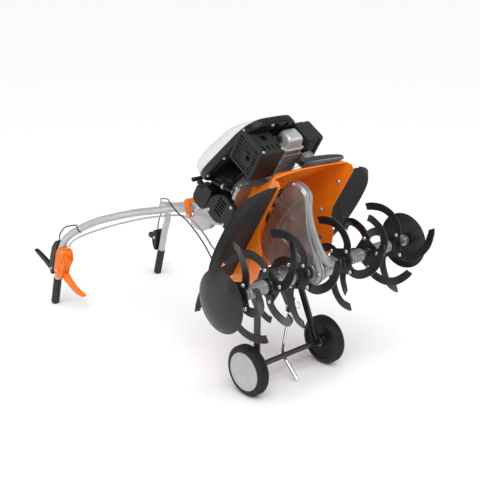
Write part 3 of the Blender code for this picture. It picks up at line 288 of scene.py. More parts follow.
def carve(bm, *tools, operation="DIFFERENCE"):
    """Cut the tools out of a skin, or join them to it."""
    target = as_object(bm)
    helpers = [as_object(tool) for tool in tools]
    for helper in helpers:
        change = target.modifiers.new("change", "BOOLEAN")
        change.operation = operation
        change.solver = "EXACT"
        change.object = helper
    bpy.context.view_layer.update()
    done = target.evaluated_get(bpy.context.evaluated_depsgraph_get())
    result = bmesh.new()
    result.from_mesh(done.data)
    for thing in [target] + helpers:
        mesh = thing.data
        bpy.data.objects.remove(thing)
        bpy.data.meshes.remove(mesh)
    bmesh.ops.remove_doubles(result, verts=result.verts[:], dist=1e-6)
    bmesh.ops.dissolve_limit(result, angle_limit=radians(0.5), verts=result.verts[:],
                             edges=result.edges[:])
    return result


def curve_through(points, per_span=8, closed=False):
    """Points of a Catmull-Rom curve through the given points."""
    knots = [Vector(p) for p in points]
    if closed:
        knots = [knots[-1]] + knots + [knots[0], knots[1]]
    else:
        knots = [2 * knots[0] - knots[1]] + knots + [2 * knots[-1] - knots[-2]]
    path = []
    for a, b, c, d in zip(knots, knots[1:], knots[2:], knots[3:]):
        for step in range(per_span):
            t = step / per_span
            path.append(0.5 * (2 * b + (c - a) * t + (2 * a - 5 * b + 4 * c - d) * t * t
                               + (3 * b - a - 3 * c + d) * t ** 3))
    return path if closed else path + [knots[-2]]


def arc(cy, cz, radius, start, end, steps):
    """Points on a circle, angles in degrees."""
    span = radians(end - start)
    return [(cy + radius * cos(radians(start) + span * i / steps),
             cz + radius * sin(radians(start) + span * i / steps)) for i in range(steps + 1)]


class Piece:
    """One visible piece: skins of one finish gathered into a single mesh."""

    def __init__(self, name, slot, body, space=MACHINE, sharp=38):
        self.name, self.slot, self.body = name, slot, body
        self.space, self.sharp = space, sharp
        self.mesh = bmesh.new()

    def add(self, *skins, turn=None):
        for bm in skins:
            if turn is not None:
                bm.transform(turn)
            part = bpy.data.meshes.new("part")
            bm.to_mesh(part)
            bm.free()
            self.mesh.from_mesh(part)
            bpy.data.meshes.remove(part)
        return self

    def bolt(self, at, axis, radius=0.0055, height=0.004, washer=True):
        """Hexagon head with a chamfer on a washer, standing on a face."""
        if washer:
            self.add(lathe([(0, 0.0012), (radius * 1.45, 0.0012), (radius * 1.5, 0.0009),
                            (radius * 1.5, -0.0006), (0, -0.0006)], axis, at, 28))
        base = 0.0010 if washer else -0.0004
        self.add(lathe([(0, base + height), (radius * 0.72, base + height),
                        (radius, base + height * 0.82), (radius, base), (0, base)], axis, at, 6))
        return self

    def rivet(self, at, axis, radius=0.006, height=0.0035):
        self.add(lathe([(0, height), (radius * 0.5, height * 0.9), (radius * 0.82, height * 0.6),
                        (radius, 0.0002), (radius, -0.0008), (0, -0.0008)], axis, at, 24))
        return self

    def done(self, *nodes, weighted=True):
        self.mesh.transform(self.space)
        mesh = bpy.data.meshes.new(self.name)
        self.mesh.to_mesh(mesh)
        self.mesh.free()
        mesh.materials.append(SLOT_FINISH[self.slot])
        mesh.shade_smooth()
        mesh.set_sharp_from_angle(angle=radians(self.sharp))
        thing = bpy.data.objects.new(self.name, mesh)
        bpy.context.scene.collection.objects.link(thing)
        if weighted:
            normals = thing.modifiers.new("normals", "WEIGHTED_NORMAL")
            normals.keep_sharp = True
        if self.body:
            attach(thing, self.body)
        if nodes:
            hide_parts(*nodes)
        return thing


# ---------------------------------------------------------------- carried-over CAD nodes
slot_of = {entry["node"]: entry["material_slot"] for entry in frame["record"]["subparts"]}
for node, thing in frame["nodes"].items():
    thing.data.materials.clear()
    thing.data.materials.append(SLOT_FINISH[slot_of[node]])
    thing.data.shade_smooth()
    thing.data.set_sharp_from_angle(angle=radians(35))


# ---------------------------------------------------------------- tines
# A tine's centre line: out from the hub, across it, and sideways at full bend.
BLADE_PATH = [(0.0270, 0.0000, 0.0000), (0.0420, 0.0000, 0.0000), (0.0560, -0.0008, 0.0000),
              (0.0783, -0.0166, 0.0020), (0.0971, -0.0516, 0.0090), (0.0981, -0.0883, 0.0220),
              (0.0816, -0.1195, 0.0360), (0.0698, -0.1308, 0.0446)]
BLADE_HALF, BLADE_THICK, PLATE_THICK = 0.0145, 0.0050, 0.0060


def blade(angle, bend):
    """One curved flat tine, bent sideways by bend at its tip."""
    path = curve_through([(out, across, abs(bend) * side) for out, across, side in BLADE_PATH], 7)
    sign = 1 if bend > 0 else -1
    turn = Matrix.Rotation(radians(angle), 4, "X")
    edge, t = 0.0011, BLADE_THICK / 2
    rings = []
    for k, centre in enumerate(path):
        ahead = path[min(k + 1, len(path) - 1)] - path[max(k - 1, 0)]
        wide = Vector((-ahead.y, ahead.x, 0)).normalized()
        thick = ahead.cross(wide).normalized()
        along = k / (len(path) - 1)
        w = BLADE_HALF + 0.0018 * (1 - along) - 0.0022 * along
        slant = ahead.normalized() * (0.0020 if k == len(path) - 1 else 0)
        section = [(w, t - edge), (w - edge, t), (edge - w, t), (-w, t - edge), (-w, edge - t),
                   (edge - w, -t), (w - edge, -t), (w, edge - t)]
        ring = []
        for u, v in section:
            c = centre + wide * u + thick * v + slant * (u / w)
            ring.append(turn @ Vector((sign * (c.z + BLADE_THICK / 2 + PLATE_THICK / 2), c.x, c.y)))
        rings.append(ring)
    return loft(rings)


def tine_star(number, x, phase, bends):
    """Square hub plate with four riveted tines and a welded hub."""
    side, cant = 0.043, 0.010
    corners = [(side, cant - side), (side, side - cant), (side - cant, side), (cant - side, side),
               (-side, side - cant), (-side, cant - side), (cant - side, -side),
               (side - cant, -side)]
    turn = Matrix.Translation((x, 0, 0)) @ Matrix.Rotation(radians(phase), 4, "X")
    half = PLATE_THICK / 2
    star = Piece(f"tine_star_{number}_steel", "tine_steel", "tine_rotor")
    star.add(slab(corners, -half, half, "x", 0.0009), turn=turn)
    hub = [(0.0134, 0.019), (0.0185, 0.019), (0.0200, 0.0175), (0.0200, 0.0075), (0.0215, 0.0045),
           (0.0240, 0.0032), (0.0240, -0.0032), (0.0215, -0.0045), (0.0200, -0.0075),
           (0.0200, -0.0175), (0.0185, -0.019), (0.0134, -0.019)]
    star.add(lathe(hub, "x", sides=40), turn=turn)
    rivets = Piece(f"tine_star_{number}_rivets", "bright_steel", "tine_rotor")
    for k in range(4):
        bend = bends[k % 2]
        angle = 45 + 90 * k
        star.add(blade(angle, bend), turn=turn)
        sign = 1 if bend > 0 else -1
        spot = Vector((0, 0.049 * cos(radians(angle)), 0.049 * sin(radians(angle))))
        near, far = spot.copy(), spot.copy()
        near.x = sign * (half + BLADE_THICK)
        far.x = -sign * half
        for place, way in ((near, sign), (far, -sign)):
            rivets.rivet(turn @ place, (way, 0, 0), 0.0066, 0.0038)
    rivets.done()
    star.done(f"tine_star_{number}")


STARS = [(-STAR_X[2], 45, (-1, 1)), (-STAR_X[1], 1, (1, -1)), (-STAR_X[0], 45, (0.75, -0.95)),
         (STAR_X[0], 45, (0.9, -0.6)), (STAR_X[1], 1, (-1, 1)), (STAR_X[2], 45, (1, -1))]
for number, (x, phase, bends) in enumerate(STARS, 1):
    tine_star(number, x, phase, bends)


def ribbed_sleeve(name, low, high, *nodes):
    """Grooved steel sleeve on the tine shaft, with a cross pin."""
    middle, half = (low + high) / 2, (high - low) / 2
    profile = [(0.0133, -half), (0.0205, -half), (0.0222, -half + 0.0014)]
    steps = max(3, int(half * 2 / 0.0125))
    for k in range(steps):
        at = -half + 2 * half * (k + 0.5) / steps
        profile += [(0.0222, at - 0.0034), (0.0196, at - 0.0020), (0.0196, at + 0.0020),
                    (0.0222, at + 0.0034)]
    profile += [(0.0222, half - 0.0014), (0.0205, half), (0.0133, half)]
    sleeve = Piece(name, "cast_aluminium", "tine_rotor")
    sleeve.add(lathe(profile, "x", (middle, 0, 0), 48))
    sleeve.add(lathe([(0, 0.0262), (0.0036, 0.0262), (0.0044, 0.0254), (0.0044, -0.0254),
                      (0.0036, -0.0262), (0, -0.0262)], (0, 0.34, 0.94), (middle, 0, 0), 20))
    sleeve.done(*nodes)


for side, word in SIDES:
    edges = sorted((side * (STAR_X[1] + 0.020), side * (STAR_X[2] - 0.020)))
    ribbed_sleeve(f"outer_sleeve_{word}", *edges)
    edges = sorted((side * 0.131, side * 0.191))
    ribbed_sleeve(f"inner_sleeve_{word}", *edges, f"coupling_{word}")

shaft = Piece("tine_shaft_bar", "bright_steel", "tine_rotor")
end = DISC_X - 0.006
shaft.add(lathe([(0, end), (0.0115, end), (0.0125, end - 0.001), (0.0125, 0.001 - end),
                 (0.0115, -end), (0, -end)], "x", sides=40))
shaft.done("tine_shaft")


def side_disc(side, word):
    """Dished guard disc with a rolled rim, a pressed centre and its bolt."""
    face = [(0, 0.0039), (0.0190, 0.0038), (0.0215, 0.0033), (0.036, 0.0030), (0.052, 0.0010),
            (0.068, -0.0024), (0.082, -0.0070), (0.092, -0.0112), (DISC_R - 0.0012, -0.0136),
            (DISC_R, -0.0150), (DISC_R - 0.0010, -0.0162), (0.0900, -0.0132), (0.080, -0.0092),
            (0.066, -0.0048), (0.050, -0.0014), (0.036, 0.0006), (0.020, 0.0010),
            (0.020, -0.0055), (0, -0.0055)]
    profile = [(r, side * h) for r, h in face]
    disc = Piece(f"side_disc_{word}_dish", "tine_steel", "tine_rotor")
    disc.add(lathe(profile, "x", (side * DISC_X, 0, 0), 96))
    disc.done(f"side_disc_{word}")
    bolts = Piece(f"side_disc_{word}_bolts", "bright_steel", "tine_rotor")
    for k in range(3):
        a = radians(90 + 120 * k)
        bolts.bolt((side * (DISC_X - 0.0052), 0.013 * cos(a), 0.013 * sin(a)), (-side, 0, 0),
                   0.0036, 0.003)
    bolts.add(lathe([(0.0126, -0.016), (0.019, -0.016), (0.0195, -0.0052), (0.0126, -0.0052)]
                    if side > 0 else
                    [(0.0126, 0.016), (0.019, 0.016), (0.0195, 0.0052), (0.0126, 0.0052)],
                    "x", (side * DISC_X, 0, 0), 32))
    bolts.done()


for side, word in SIDES:
    side_disc(side, word)


# ---------------------------------------------------------------- gear case
# Outline points (y, z) of the case between its dome and its other rounded parts.
CASE_FRONT = [(-0.188, 0.138), (-0.128, 0.101), (-0.090, 0.054), (-0.060, 0.006)]
CASE_BACK = [(0.114, 0.176), (0.096, 0.206), (0.062, 0.226), (0.010, 0.2340), (-0.070, 0.2365)]


def case_outline(grow=0.0):
    """Dome over the countershaft, hollow front edge, boss round the axle, lobe to the rear."""
    front = [(y - 0.78 * grow, z - 0.62 * grow) for y, z in CASE_FRONT]
    back = [(y + 0.7 * grow, z + grow) for y, z in CASE_BACK]
    dome = arc(DOME_Y, DOME_Z, DOME_R + grow, 85, 195, 16)
    boss = arc(0, 0, BOSS_R + grow, 200, 320, 12)
    lobe = arc(LOBE_Y, LOBE_Z, LOBE_R + grow, -45, 15, 8)

    def between(first, knots, last):
        return [(p.x, p.y) for p in curve_through([(*k, 0) for k in [first, *knots, last]], 5)[1:-1]]

    return dome + between(dome[-1], front, boss[0]) + boss + lobe + between(lobe[-1], back, dome[0])


def gear_case():
    left, right = CASE_X - CASE_HALF, CASE_X + CASE_HALF
    case = Piece("gear_case_castings", "cast_aluminium", "chassis")
    body = []
    for inset, x in ((0.0, CASE_X - 0.002), (0.0005, CASE_X - 0.010), (0.003, left + 0.004),
                     (0.0075, left + 0.0008), (0.012, left)):
        body.append([(x, y, z) for y, z in case_outline(-inset)])
    face = loft(body)
    # triangular hollow between the front ridge and the ridge that runs back from the dome
    pocket = [(-0.166, 0.150), (-0.110, 0.160), (-0.050, 0.166), (-0.006, 0.150),
              (-0.014, 0.104), (-0.040, 0.062), (-0.074, 0.066), (-0.116, 0.112)]
    recess = slab([tuple(p)[:2] for p in curve_through([(y, z, 0) for y, z in pocket], 5, True)],
                  left - 0.010, left + 0.0060, "x", 0.003)
    rear = [(0.016, 0.150), (0.062, 0.154), (0.092, 0.128), (0.076, 0.092), (0.030, 0.074),
            (0.006, 0.100)]
    recess_rear = slab([tuple(p)[:2] for p in curve_through([(y, z, 0) for y, z in rear], 5, True)],
                       left - 0.010, left + 0.0045, "x", 0.002)
    case.add(carve(face, recess, recess_rear))
    body = []
    for inset, x in ((0.0, CASE_X + 0.002), (0.0005, CASE_X + 0.010), (0.003, right - 0.004),
                     (0.010, right)):
        body.append([(x, y, z) for y, z in case_outline(-inset)])
    case.add(loft(body))
    case.add(slab(case_outline(0.0035), CASE_X - 0.0030, CASE_X + 0.0030, "x", 0.0009))
    # long hub on the right and bearing boss on the left of the tine axle
    case.add(lathe([(0.0134, HUB_END_X), (0.0270, HUB_END_X), (0.0300, HUB_END_X - 0.003),
                    (0.0315, 0.030), (0.0345, 0.010), (BOSS_R - 0.003, right), (0.0134, right)],
                   "x", sides=56))
    case.add(lathe([(0.0134, left - 0.0035), (0.0250, left - 0.0035), (0.0275, left - 0.002),
                    (0.0300, left + 0.001), (0.0134, left + 0.002)], "x", sides=56))
    # proud ridges on the left face, and the one that flares along the front into the hub
    def ridge(path, half, proud, x=left):
        section = [(-proud * 0.5, -half), (proud * 0.7, -half * 0.75), (proud, -half * 0.35),
                   (proud, half * 0.35), (proud * 0.7, half * 0.75), (-proud * 0.5, half)]
        route = curve_through([(x + 0.0004, y, z) for y, z in path], 8)
        return sweep(route, [(v, -u) for u, v in section], up=(1, 0, 0))

    case.add(ridge([(-0.192, 0.172), (-0.186, 0.147), (-0.150, 0.117), (-0.118, 0.094),
                    (-0.088, 0.056), (-0.060, 0.020), (-0.034, 0.004)], 0.0070, 0.0034))
    case.add(ridge([(-0.186, 0.154), (-0.130, 0.172), (-0.060, 0.186), (0.000, 0.180),
                    (0.050, 0.170)], 0.0055, 0.0032))
    case.add(ridge([(-0.006, 0.172), (-0.002, 0.120), (-0.010, 0.070), (-0.006, 0.030)],
                   0.0045, 0.0030))
    flare = [(-0.036, -0.190, 0.150), (-0.035, -0.134, 0.104), (-0.033, -0.096, 0.058),
             (-0.026, -0.066, 0.014), (-0.004, -0.046, -0.012), (0.024, -0.034, -0.014),
             (0.050, -0.027, -0.006)]
    rings = []
    route = curve_through(flare, 8)
    for k, point in enumerate(route):
        ahead = (route[min(k + 1, len(route) - 1)] - route[max(k - 1, 0)]).normalized()
        across = ahead.cross(Vector((0.2, 0.78, 0.62))).normalized()
        deep = across.cross(ahead).normalized()
        fat = 0.0075 + 0.0045 * sin(pi * k / (len(route) - 1))
        rings.append([point + across * fat * 1.3 * cos(2 * pi * a / 20)
                      + deep * fat * sin(2 * pi * a / 20) for a in range(20)])
    case.add(loft(rings))
    inner_edge = [Vector((p.x, p.y * 0.55, p.z * 0.55)) if p.x > -0.03 else
                  Vector((p.x, p.y + 0.016, p.z + 0.013)) for p in route]
    web = []
    for outer, inner in zip(route, inner_edge):
        side = Vector((0.0035, 0, 0.0))
        web.append([outer + side, outer - side, inner - side, inner + side])
    case.add(loft(web))
    # worm housing neck under the driven pulley
    case.add(lathe([(0.0100, 0.238), (0.0180, 0.238), (0.0190, 0.236), (0.0200, 0.214),
                    (0.0240, 0.200), (0.0100, 0.200)], "z", (CASE_X - 0.0035, -0.089, 0), 40))
    case.done("gear_case_left", "gear_case_right")
    bolts = Piece("gear_case_bolts", "bright_steel", "chassis")
    for y, z in ((-0.188, 0.207), (-0.122, 0.2255), (0.072, 0.2090), (0.108, 0.150),
                 (0.086, 0.084), (0.030, -0.026), (-0.022, -0.034)):
        bolts.bolt((left + 0.0020, y, z), (-1, 0, 0), 0.0044, 0.0030)
    bolts.done()
    seal = Piece("gear_case_seals", "rubber", "chassis")
    seal.add(lathe([(0.0132, HUB_END_X + 0.0012), (0.0215, HUB_END_X + 0.0012),
                    (0.0220, HUB_END_X - 0.001), (0.0132, HUB_END_X - 0.001)], "x", sides=48))
    seal.add(lathe([(0.0132, left - 0.0046), (0.0205, left - 0.0046), (0.0210, left - 0.002),
                    (0.0132, left - 0.002)], "x", sides=48))
    seal.done()


gear_case()


# ---------------------------------------------------------------- chassis
# The deck's profile from nose to tail, (y, z), with its half width on the left and on the right.
DECK_EDGE = [(-0.238, 0.206, 0.165, 0.165), (-0.224, 0.232, 0.128, 0.163),
             (-0.206, 0.250, 0.096, 0.160), (-0.150, 0.272, 0.086, 0.155),
             (-0.095, 0.300, 0.078, 0.148), (-0.070, DECK_Z, 0.070, 0.138),
             (0.190, DECK_Z, 0.070, 0.138), (0.213, 0.305, 0.095, 0.150),
             (0.232, 0.208, 0.165, 0.165)]
BELLY = [(0.205, 0.160), (0.185, 0.130), (0.160, 0.108), (0.135, 0.094), (0.105, 0.087),
         (0.070, 0.089), (0.035, 0.100), (0.000, 0.116), (-0.024, 0.142), (-0.044, 0.159),
         (-0.070, 0.167), (-0.236, 0.169), (-0.246, 0.184)]


def nose_edge(u):
    """Arched lower edge of the nose at u, from -1 at the left panel to 1 at the right."""
    y, z, half, _ = DECK_EDGE[0]
    up_y, up_z = DECK_EDGE[1][:2]
    lift = 0.86 * (1 - u * u)
    return Vector((u * half, y + (up_y - y) * lift, z + (up_z - z) * lift))


def folded_shell():
    """Outer and inner skin of the folded chassis sheet, edges closed."""
    bm = bmesh.new()
    columns = []
    lanes = [k / 9 for k in range(-9, 10)]
    for u in lanes:
        column = [bm.verts.new((u * (left if u < 0 else right), y, z))
                  for y, z, left, right in DECK_EDGE]
        column[0].co = nose_edge(u)
        columns.append(column)
    for one, two in zip(columns, columns[1:]):
        for k in range(len(DECK_EDGE) - 1):
            bm.faces.new((one[k], one[k + 1], two[k + 1], two[k]))
    shoulder_z = DECK_EDGE[0][1]
    for column in (columns[0], columns[-1]):
        x = column[0].co.x
        shoulder = [bm.verts.new((x, v.co.y, shoulder_z)) for v in column[1:-1]]
        shoulder = [column[0], *shoulder, column[-1]]
        for k in range(len(column) - 1):
            corners = dict.fromkeys((column[k], column[k + 1], shoulder[k + 1], shoulder[k]))
            bm.faces.new(list(corners))
        belly = [(p.y, p.z) for p in curve_through([(0, y, z) for y, z in BELLY[:-3]], 4)]
        rim = belly + BELLY[-3:]
        bm.faces.new(shoulder + [bm.verts.new((x, y, z)) for y, z in rim])
    bmesh.ops.recalc_face_normals(bm, faces=bm.faces[:])
    shell = as_object(bm)
    thick = shell.modifiers.new("sheet", "SOLIDIFY")
    thick.thickness = SHEET
    thick.offset = -1
    thick.use_even_offset = True
    bpy.context.view_layer.update()
    done = shell.evaluated_get(bpy.context.evaluated_depsgraph_get())
    result = bmesh.new()
    result.from_mesh(done.data)
    mesh = shell.data
    bpy.data.objects.remove(shell)
    bpy.data.meshes.remove(mesh)
    return result


def chassis():
    hole = lathe([(0, 0.36), (0.016, 0.36), (0.016, 0.29), (0, 0.29)], "z", (0, CRANK_Y, 0), 32)
    holes = [hole]
    for side, _ in SIDES:
        x = side * CHASSIS_HALF
        for y, z, radius in ((-0.160, 0.196, 0.0060), (0.100, 0.196, 0.0060), (0.060, 0.150, 0.009)):
            holes.append(lathe([(0, 0.01), (radius, 0.01), (radius, -0.01), (0, -0.01)], "x",
                               (x, y, z), 24))
    shell = Piece("chassis_sheet", "orange_paint", "chassis", sharp=30)
    shell.add(carve(folded_shell(), *holes))
    # pressed stiffening beads along the side panels and a rolled lip along the nose's lower edge
    for side, _ in SIDES:
        x = side * (CHASSIS_HALF - 0.0004)
        bead = curve_through([(x, 0.010, 0.158), (x, 0.070, 0.134), (x, 0.130, 0.132),
                              (x, 0.190, 0.176)], 8)
        shell.add(tube(bead, 0.0022, 12))
    lip = [nose_edge(k / 20) + Vector((0, 0.0006, -0.0006)) for k in range(-20, 21)]
    shell.add(tube(lip, 0.0024, 12))
    shell.done("chassis_shell")
    bolts = Piece("chassis_bolts", "bright_steel", "chassis")
    for side, _ in SIDES:
        for y, z in ((-0.159, 0.196), (-0.026, 0.202), (0.100, 0.196), (0.170, 0.190)):
            bolts.bolt((side * (CHASSIS_HALF - SHEET), y, z), (-side, 0, 0), 0.0058, 0.0045)
    for x, y in ((-0.052, -0.052), (0.052, -0.052), (-0.052, 0.176), (0.058, 0.182)):
        bolts.bolt((x, y, DECK_Z - SHEET), (0, 0, -1), 0.0056, 0.0045)
    bolts.done()


def nose_cover():
    """Glossy rounded cover over the right half of the nose edge."""
    y, z = DECK_EDGE[0][:2]
    along = (Vector(DECK_EDGE[1][:2]) - Vector((y, z))).normalized()
    out = Vector((-along.y, along.x))
    rings = []
    steps = 32
    for step in range(steps + 1):
        u = -0.04 + 0.96 * step / steps
        swell = 0.5 + 0.5 * max(0.0, sin(pi * (step + 0.5) / (steps + 1))) ** 0.5
        middle = nose_edge(u).yz + along * 0.012 + out * 0.0150
        ring = []
        for k in range(24):
            a = 2 * pi * k / 24
            p = middle + along * 0.020 * swell * cos(a) + out * 0.0135 * swell * sin(a)
            ring.append((u * CHASSIS_HALF, p.x, p.y))
        rings.append(ring)
    cover = Piece("nose_cover_shell", "gloss_black", "chassis", sharp=60)
    cover.add(loft(rings))
    cover.done("nose_cover")


# ---------------------------------------------------------------- fenders
FENDER_FOLD = [(0.196, -0.236), (0.240, -0.208), (0.268, -0.172), (0.283, -0.128),
               (0.289, -0.060), (0.286, 0.017), (0.272, 0.086), (0.250, 0.140), (0.212, 0.168)]


def fender(side, word):
    """Moulded guard with a folded outer band, a lip, ribs on its upper face and its screws."""
    inner = CHASSIS_HALF + 0.0008

    def on_guard(x, y, lift=0.0):
        return Vector((side * x, y, 0.1765 - 0.13 * (x - CHASSIS_HALF) + lift))

    fold = [(p.x, p.y) for p in curve_through([(x, y, 0) for x, y in FENDER_FOLD], 5)]
    bm = bmesh.new()
    base = [bm.verts.new(on_guard(x, y)) for x, y in fold]
    # the folded band dies away towards both of its ends
    rise = [min(1.0, 0.12 + 4.5 * k / len(fold), 0.12 + 4.5 * (1 - k / len(fold)))
            for k in range(len(fold))]
    curl = [bm.verts.new(on_guard(x + 0.006 * r, (1 + 0.01 * r) * y, 0.003 * r))
            for (x, y), r in zip(fold, rise)]
    band_line = [on_guard(x + 0.017 * r, (1 + 0.03 * r) * y, 0.022 * r)
                 for (x, y), r in zip(fold, rise)]
    band = [bm.verts.new(p) for p in band_line]
    near = [bm.verts.new(on_guard(inner, -0.232 + (0.166 + 0.232) * k / (len(fold) - 1)))
            for k in range(len(fold))]
    for k in range(len(base) - 1):
        bm.faces.new((near[k], near[k + 1], base[k + 1], base[k]))
        bm.faces.new((base[k], base[k + 1], curl[k + 1], curl[k]))
        bm.faces.new((curl[k], curl[k + 1], band[k + 1], band[k]))
    bmesh.ops.recalc_face_normals(bm, faces=bm.faces[:])
    if bm.faces[0].normal.z < 0:
        bmesh.ops.reverse_faces(bm, faces=bm.faces[:])
    bm.faces.ensure_lookup_table()
    sheet = as_object(bm)
    thick = sheet.modifiers.new("sheet", "SOLIDIFY")
    thick.thickness = 0.003
    thick.offset = 1 if sheet.data.polygons[0].normal.z > 0 else -1
    bpy.context.view_layer.update()
    done = sheet.evaluated_get(bpy.context.evaluated_depsgraph_get())
    skin_bm = bmesh.new()
    skin_bm.from_mesh(done.data)
    bpy.data.objects.remove(sheet)
    slot_cut = box((side * 0.240 - 0.020, 0.050, 0.15), (side * 0.240 + 0.020, 0.085, 0.20), 0.004)
    guard = Piece(f"fender_{word}_shell", "dark_plastic", "chassis", sharp=50)
    guard.add(carve(skin_bm, slot_cut))
    # lip along the band and ribs on the upper face
    guard.add(tube([p + Vector((0, 0, 0.0006)) for p in band_line], 0.0023, 12))
    for y in (-0.170, -0.085, 0.020, 0.110):
        rib = [on_guard(x, y, 0.0048) for x in (0.178, 0.205, 0.232, 0.256)]
        guard.add(sweep(rib, [(-0.0014, -0.0035), (0.0014, -0.0035), (0.0014, 0.0030),
                              (-0.0014, 0.0030)], up=(0, 0, 1)))
    guard.done(f"fender_{word}")
    screws = Piece(f"fender_{word}_screws", "bright_steel", "chassis")
    for y in (-0.190, -0.060, 0.070, 0.140):
        screws.bolt(on_guard(0.178, y, 0.0030), (0, 0, 1), 0.0046, 0.003)
    screws.done()


chassis()
nose_cover()
for side, word in SIDES:
    fender(side, word)


# ---------------------------------------------------------------- wheels and spur
WHEEL_CENTRE = Vector((0.3742, -0.0648))
SPUR_START, SPUR_DIRECTION = Vector((0.200, 0.0285)), Vector((0.9397, -0.3420))


def wheel(side, word):
    half, body = TYRE_WIDTH / 2, f"wheel_{word}"
    centre = (side * WHEEL_X, 0, WHEEL_R)
    flip = 1 if side > 0 else -1

    def turned(profile):
        return lathe([(r, flip * h) for r, h in profile], "x", centre, 96)

    tyre = Piece(f"tyre_{word}_tread", "tyre", body, FLOOR)
    base = WHEEL_R - 0.0022
    tyre.add(turned([(base - 0.018, half - 0.0006), (base - 0.012, half - 0.0008),
                     (base - 0.006, half - 0.0030), (base - 0.0015, half - 0.0075),
                     (base, half - 0.012), (base, 0.012 - half), (base - 0.0015, 0.0075 - half),
                     (base - 0.006, 0.0030 - half), (base - 0.012, 0.0008 - half),
                     (base - 0.018, 0.0006 - half), (RIM_R + 0.0004, -half + 0.004),
                     (RIM_R + 0.0004, half - 0.004)]))
    for across in (-0.0085, -0.0028, 0.0028, 0.0085):
        tyre.add(turned([(WHEEL_R - 0.0001, across + 0.0016), (WHEEL_R - 0.0001, across - 0.0016),
                         (base - 0.001, across - 0.0020), (base - 0.001, across + 0.0020)]))
    for k in range(60):
        for row in (-1, 1):
            lug = box((-0.0022, -0.0024, base - 0.004), (0.0022, 0.0024, base - 0.0002), 0.0005, 1)
            turn = (Matrix.Translation(centre) @ Matrix.Rotation(2 * pi * k / 60, 4, "X")
                    @ Matrix.Translation((row * 0.0130, 0, 0)))
            tyre.add(lug, turn=turn)
    tyre.done(f"tyre_{word}")

    rim = Piece(f"rim_{word}_wheel", "black_plastic", body, FLOOR)
    rim.add(turned([(RIM_R, half - 0.0045), (RIM_R, 0.005 - half), (RIM_R - 0.003, 0.0045 - half),
                    (RIM_R - 0.006, 0.0060 - half), (0.040, 0.0085 - half),
                    (0.022, 0.0090 - half), (0.018, 0.002 - half), (0.0102, 0.002 - half),
                    (0.0102, 0.0190), (RIM_R - 0.012, 0.0160), (RIM_R - 0.004, half - 0.0045)]))
    rim.done(f"rim_{word}")
    cap = Piece(f"hubcap_{word}", "hubcap_grey", body, FLOOR)
    cap.add(turned([(0, half + 0.0034), (0.008, half + 0.0034), (0.0090, half + 0.0026),
                    (0.030, half + 0.0022), (0.046, half + 0.0008), (RIM_R - 0.0110, half - 0.0010),
                    (RIM_R - 0.0080, half - 0.0016), (RIM_R - 0.0055, half - 0.0002),
                    (RIM_R - 0.0010, half - 0.0004), (RIM_R + 0.0004, half - 0.0016),
                    (RIM_R - 0.0004, half - 0.0044), (0, 0.0194)]))
    cap.done()


def flat_bar(start, end, width, thick, soft=0.0012):
    """Flat bar between two (x, y, z) points; width is measured across in side view."""
    start, end = Vector(start), Vector(end)
    along = (end - start).normalized()
    across = along.cross(Vector((1, 0, 0))).normalized() * width / 2
    out = across.cross(along).normalized() * thick / 2
    rings = [[p + across + out, p - across + out, p - across - out, p + across - out]
             for p in (start, end)]
    return soften(loft(rings), soft)


def along_spur(radius, low, high, sides=32):
    start, end = SPUR_START + SPUR_DIRECTION * low, SPUR_START + SPUR_DIRECTION * high
    return tube([(0, *start), (0, *end)], radius, sides)


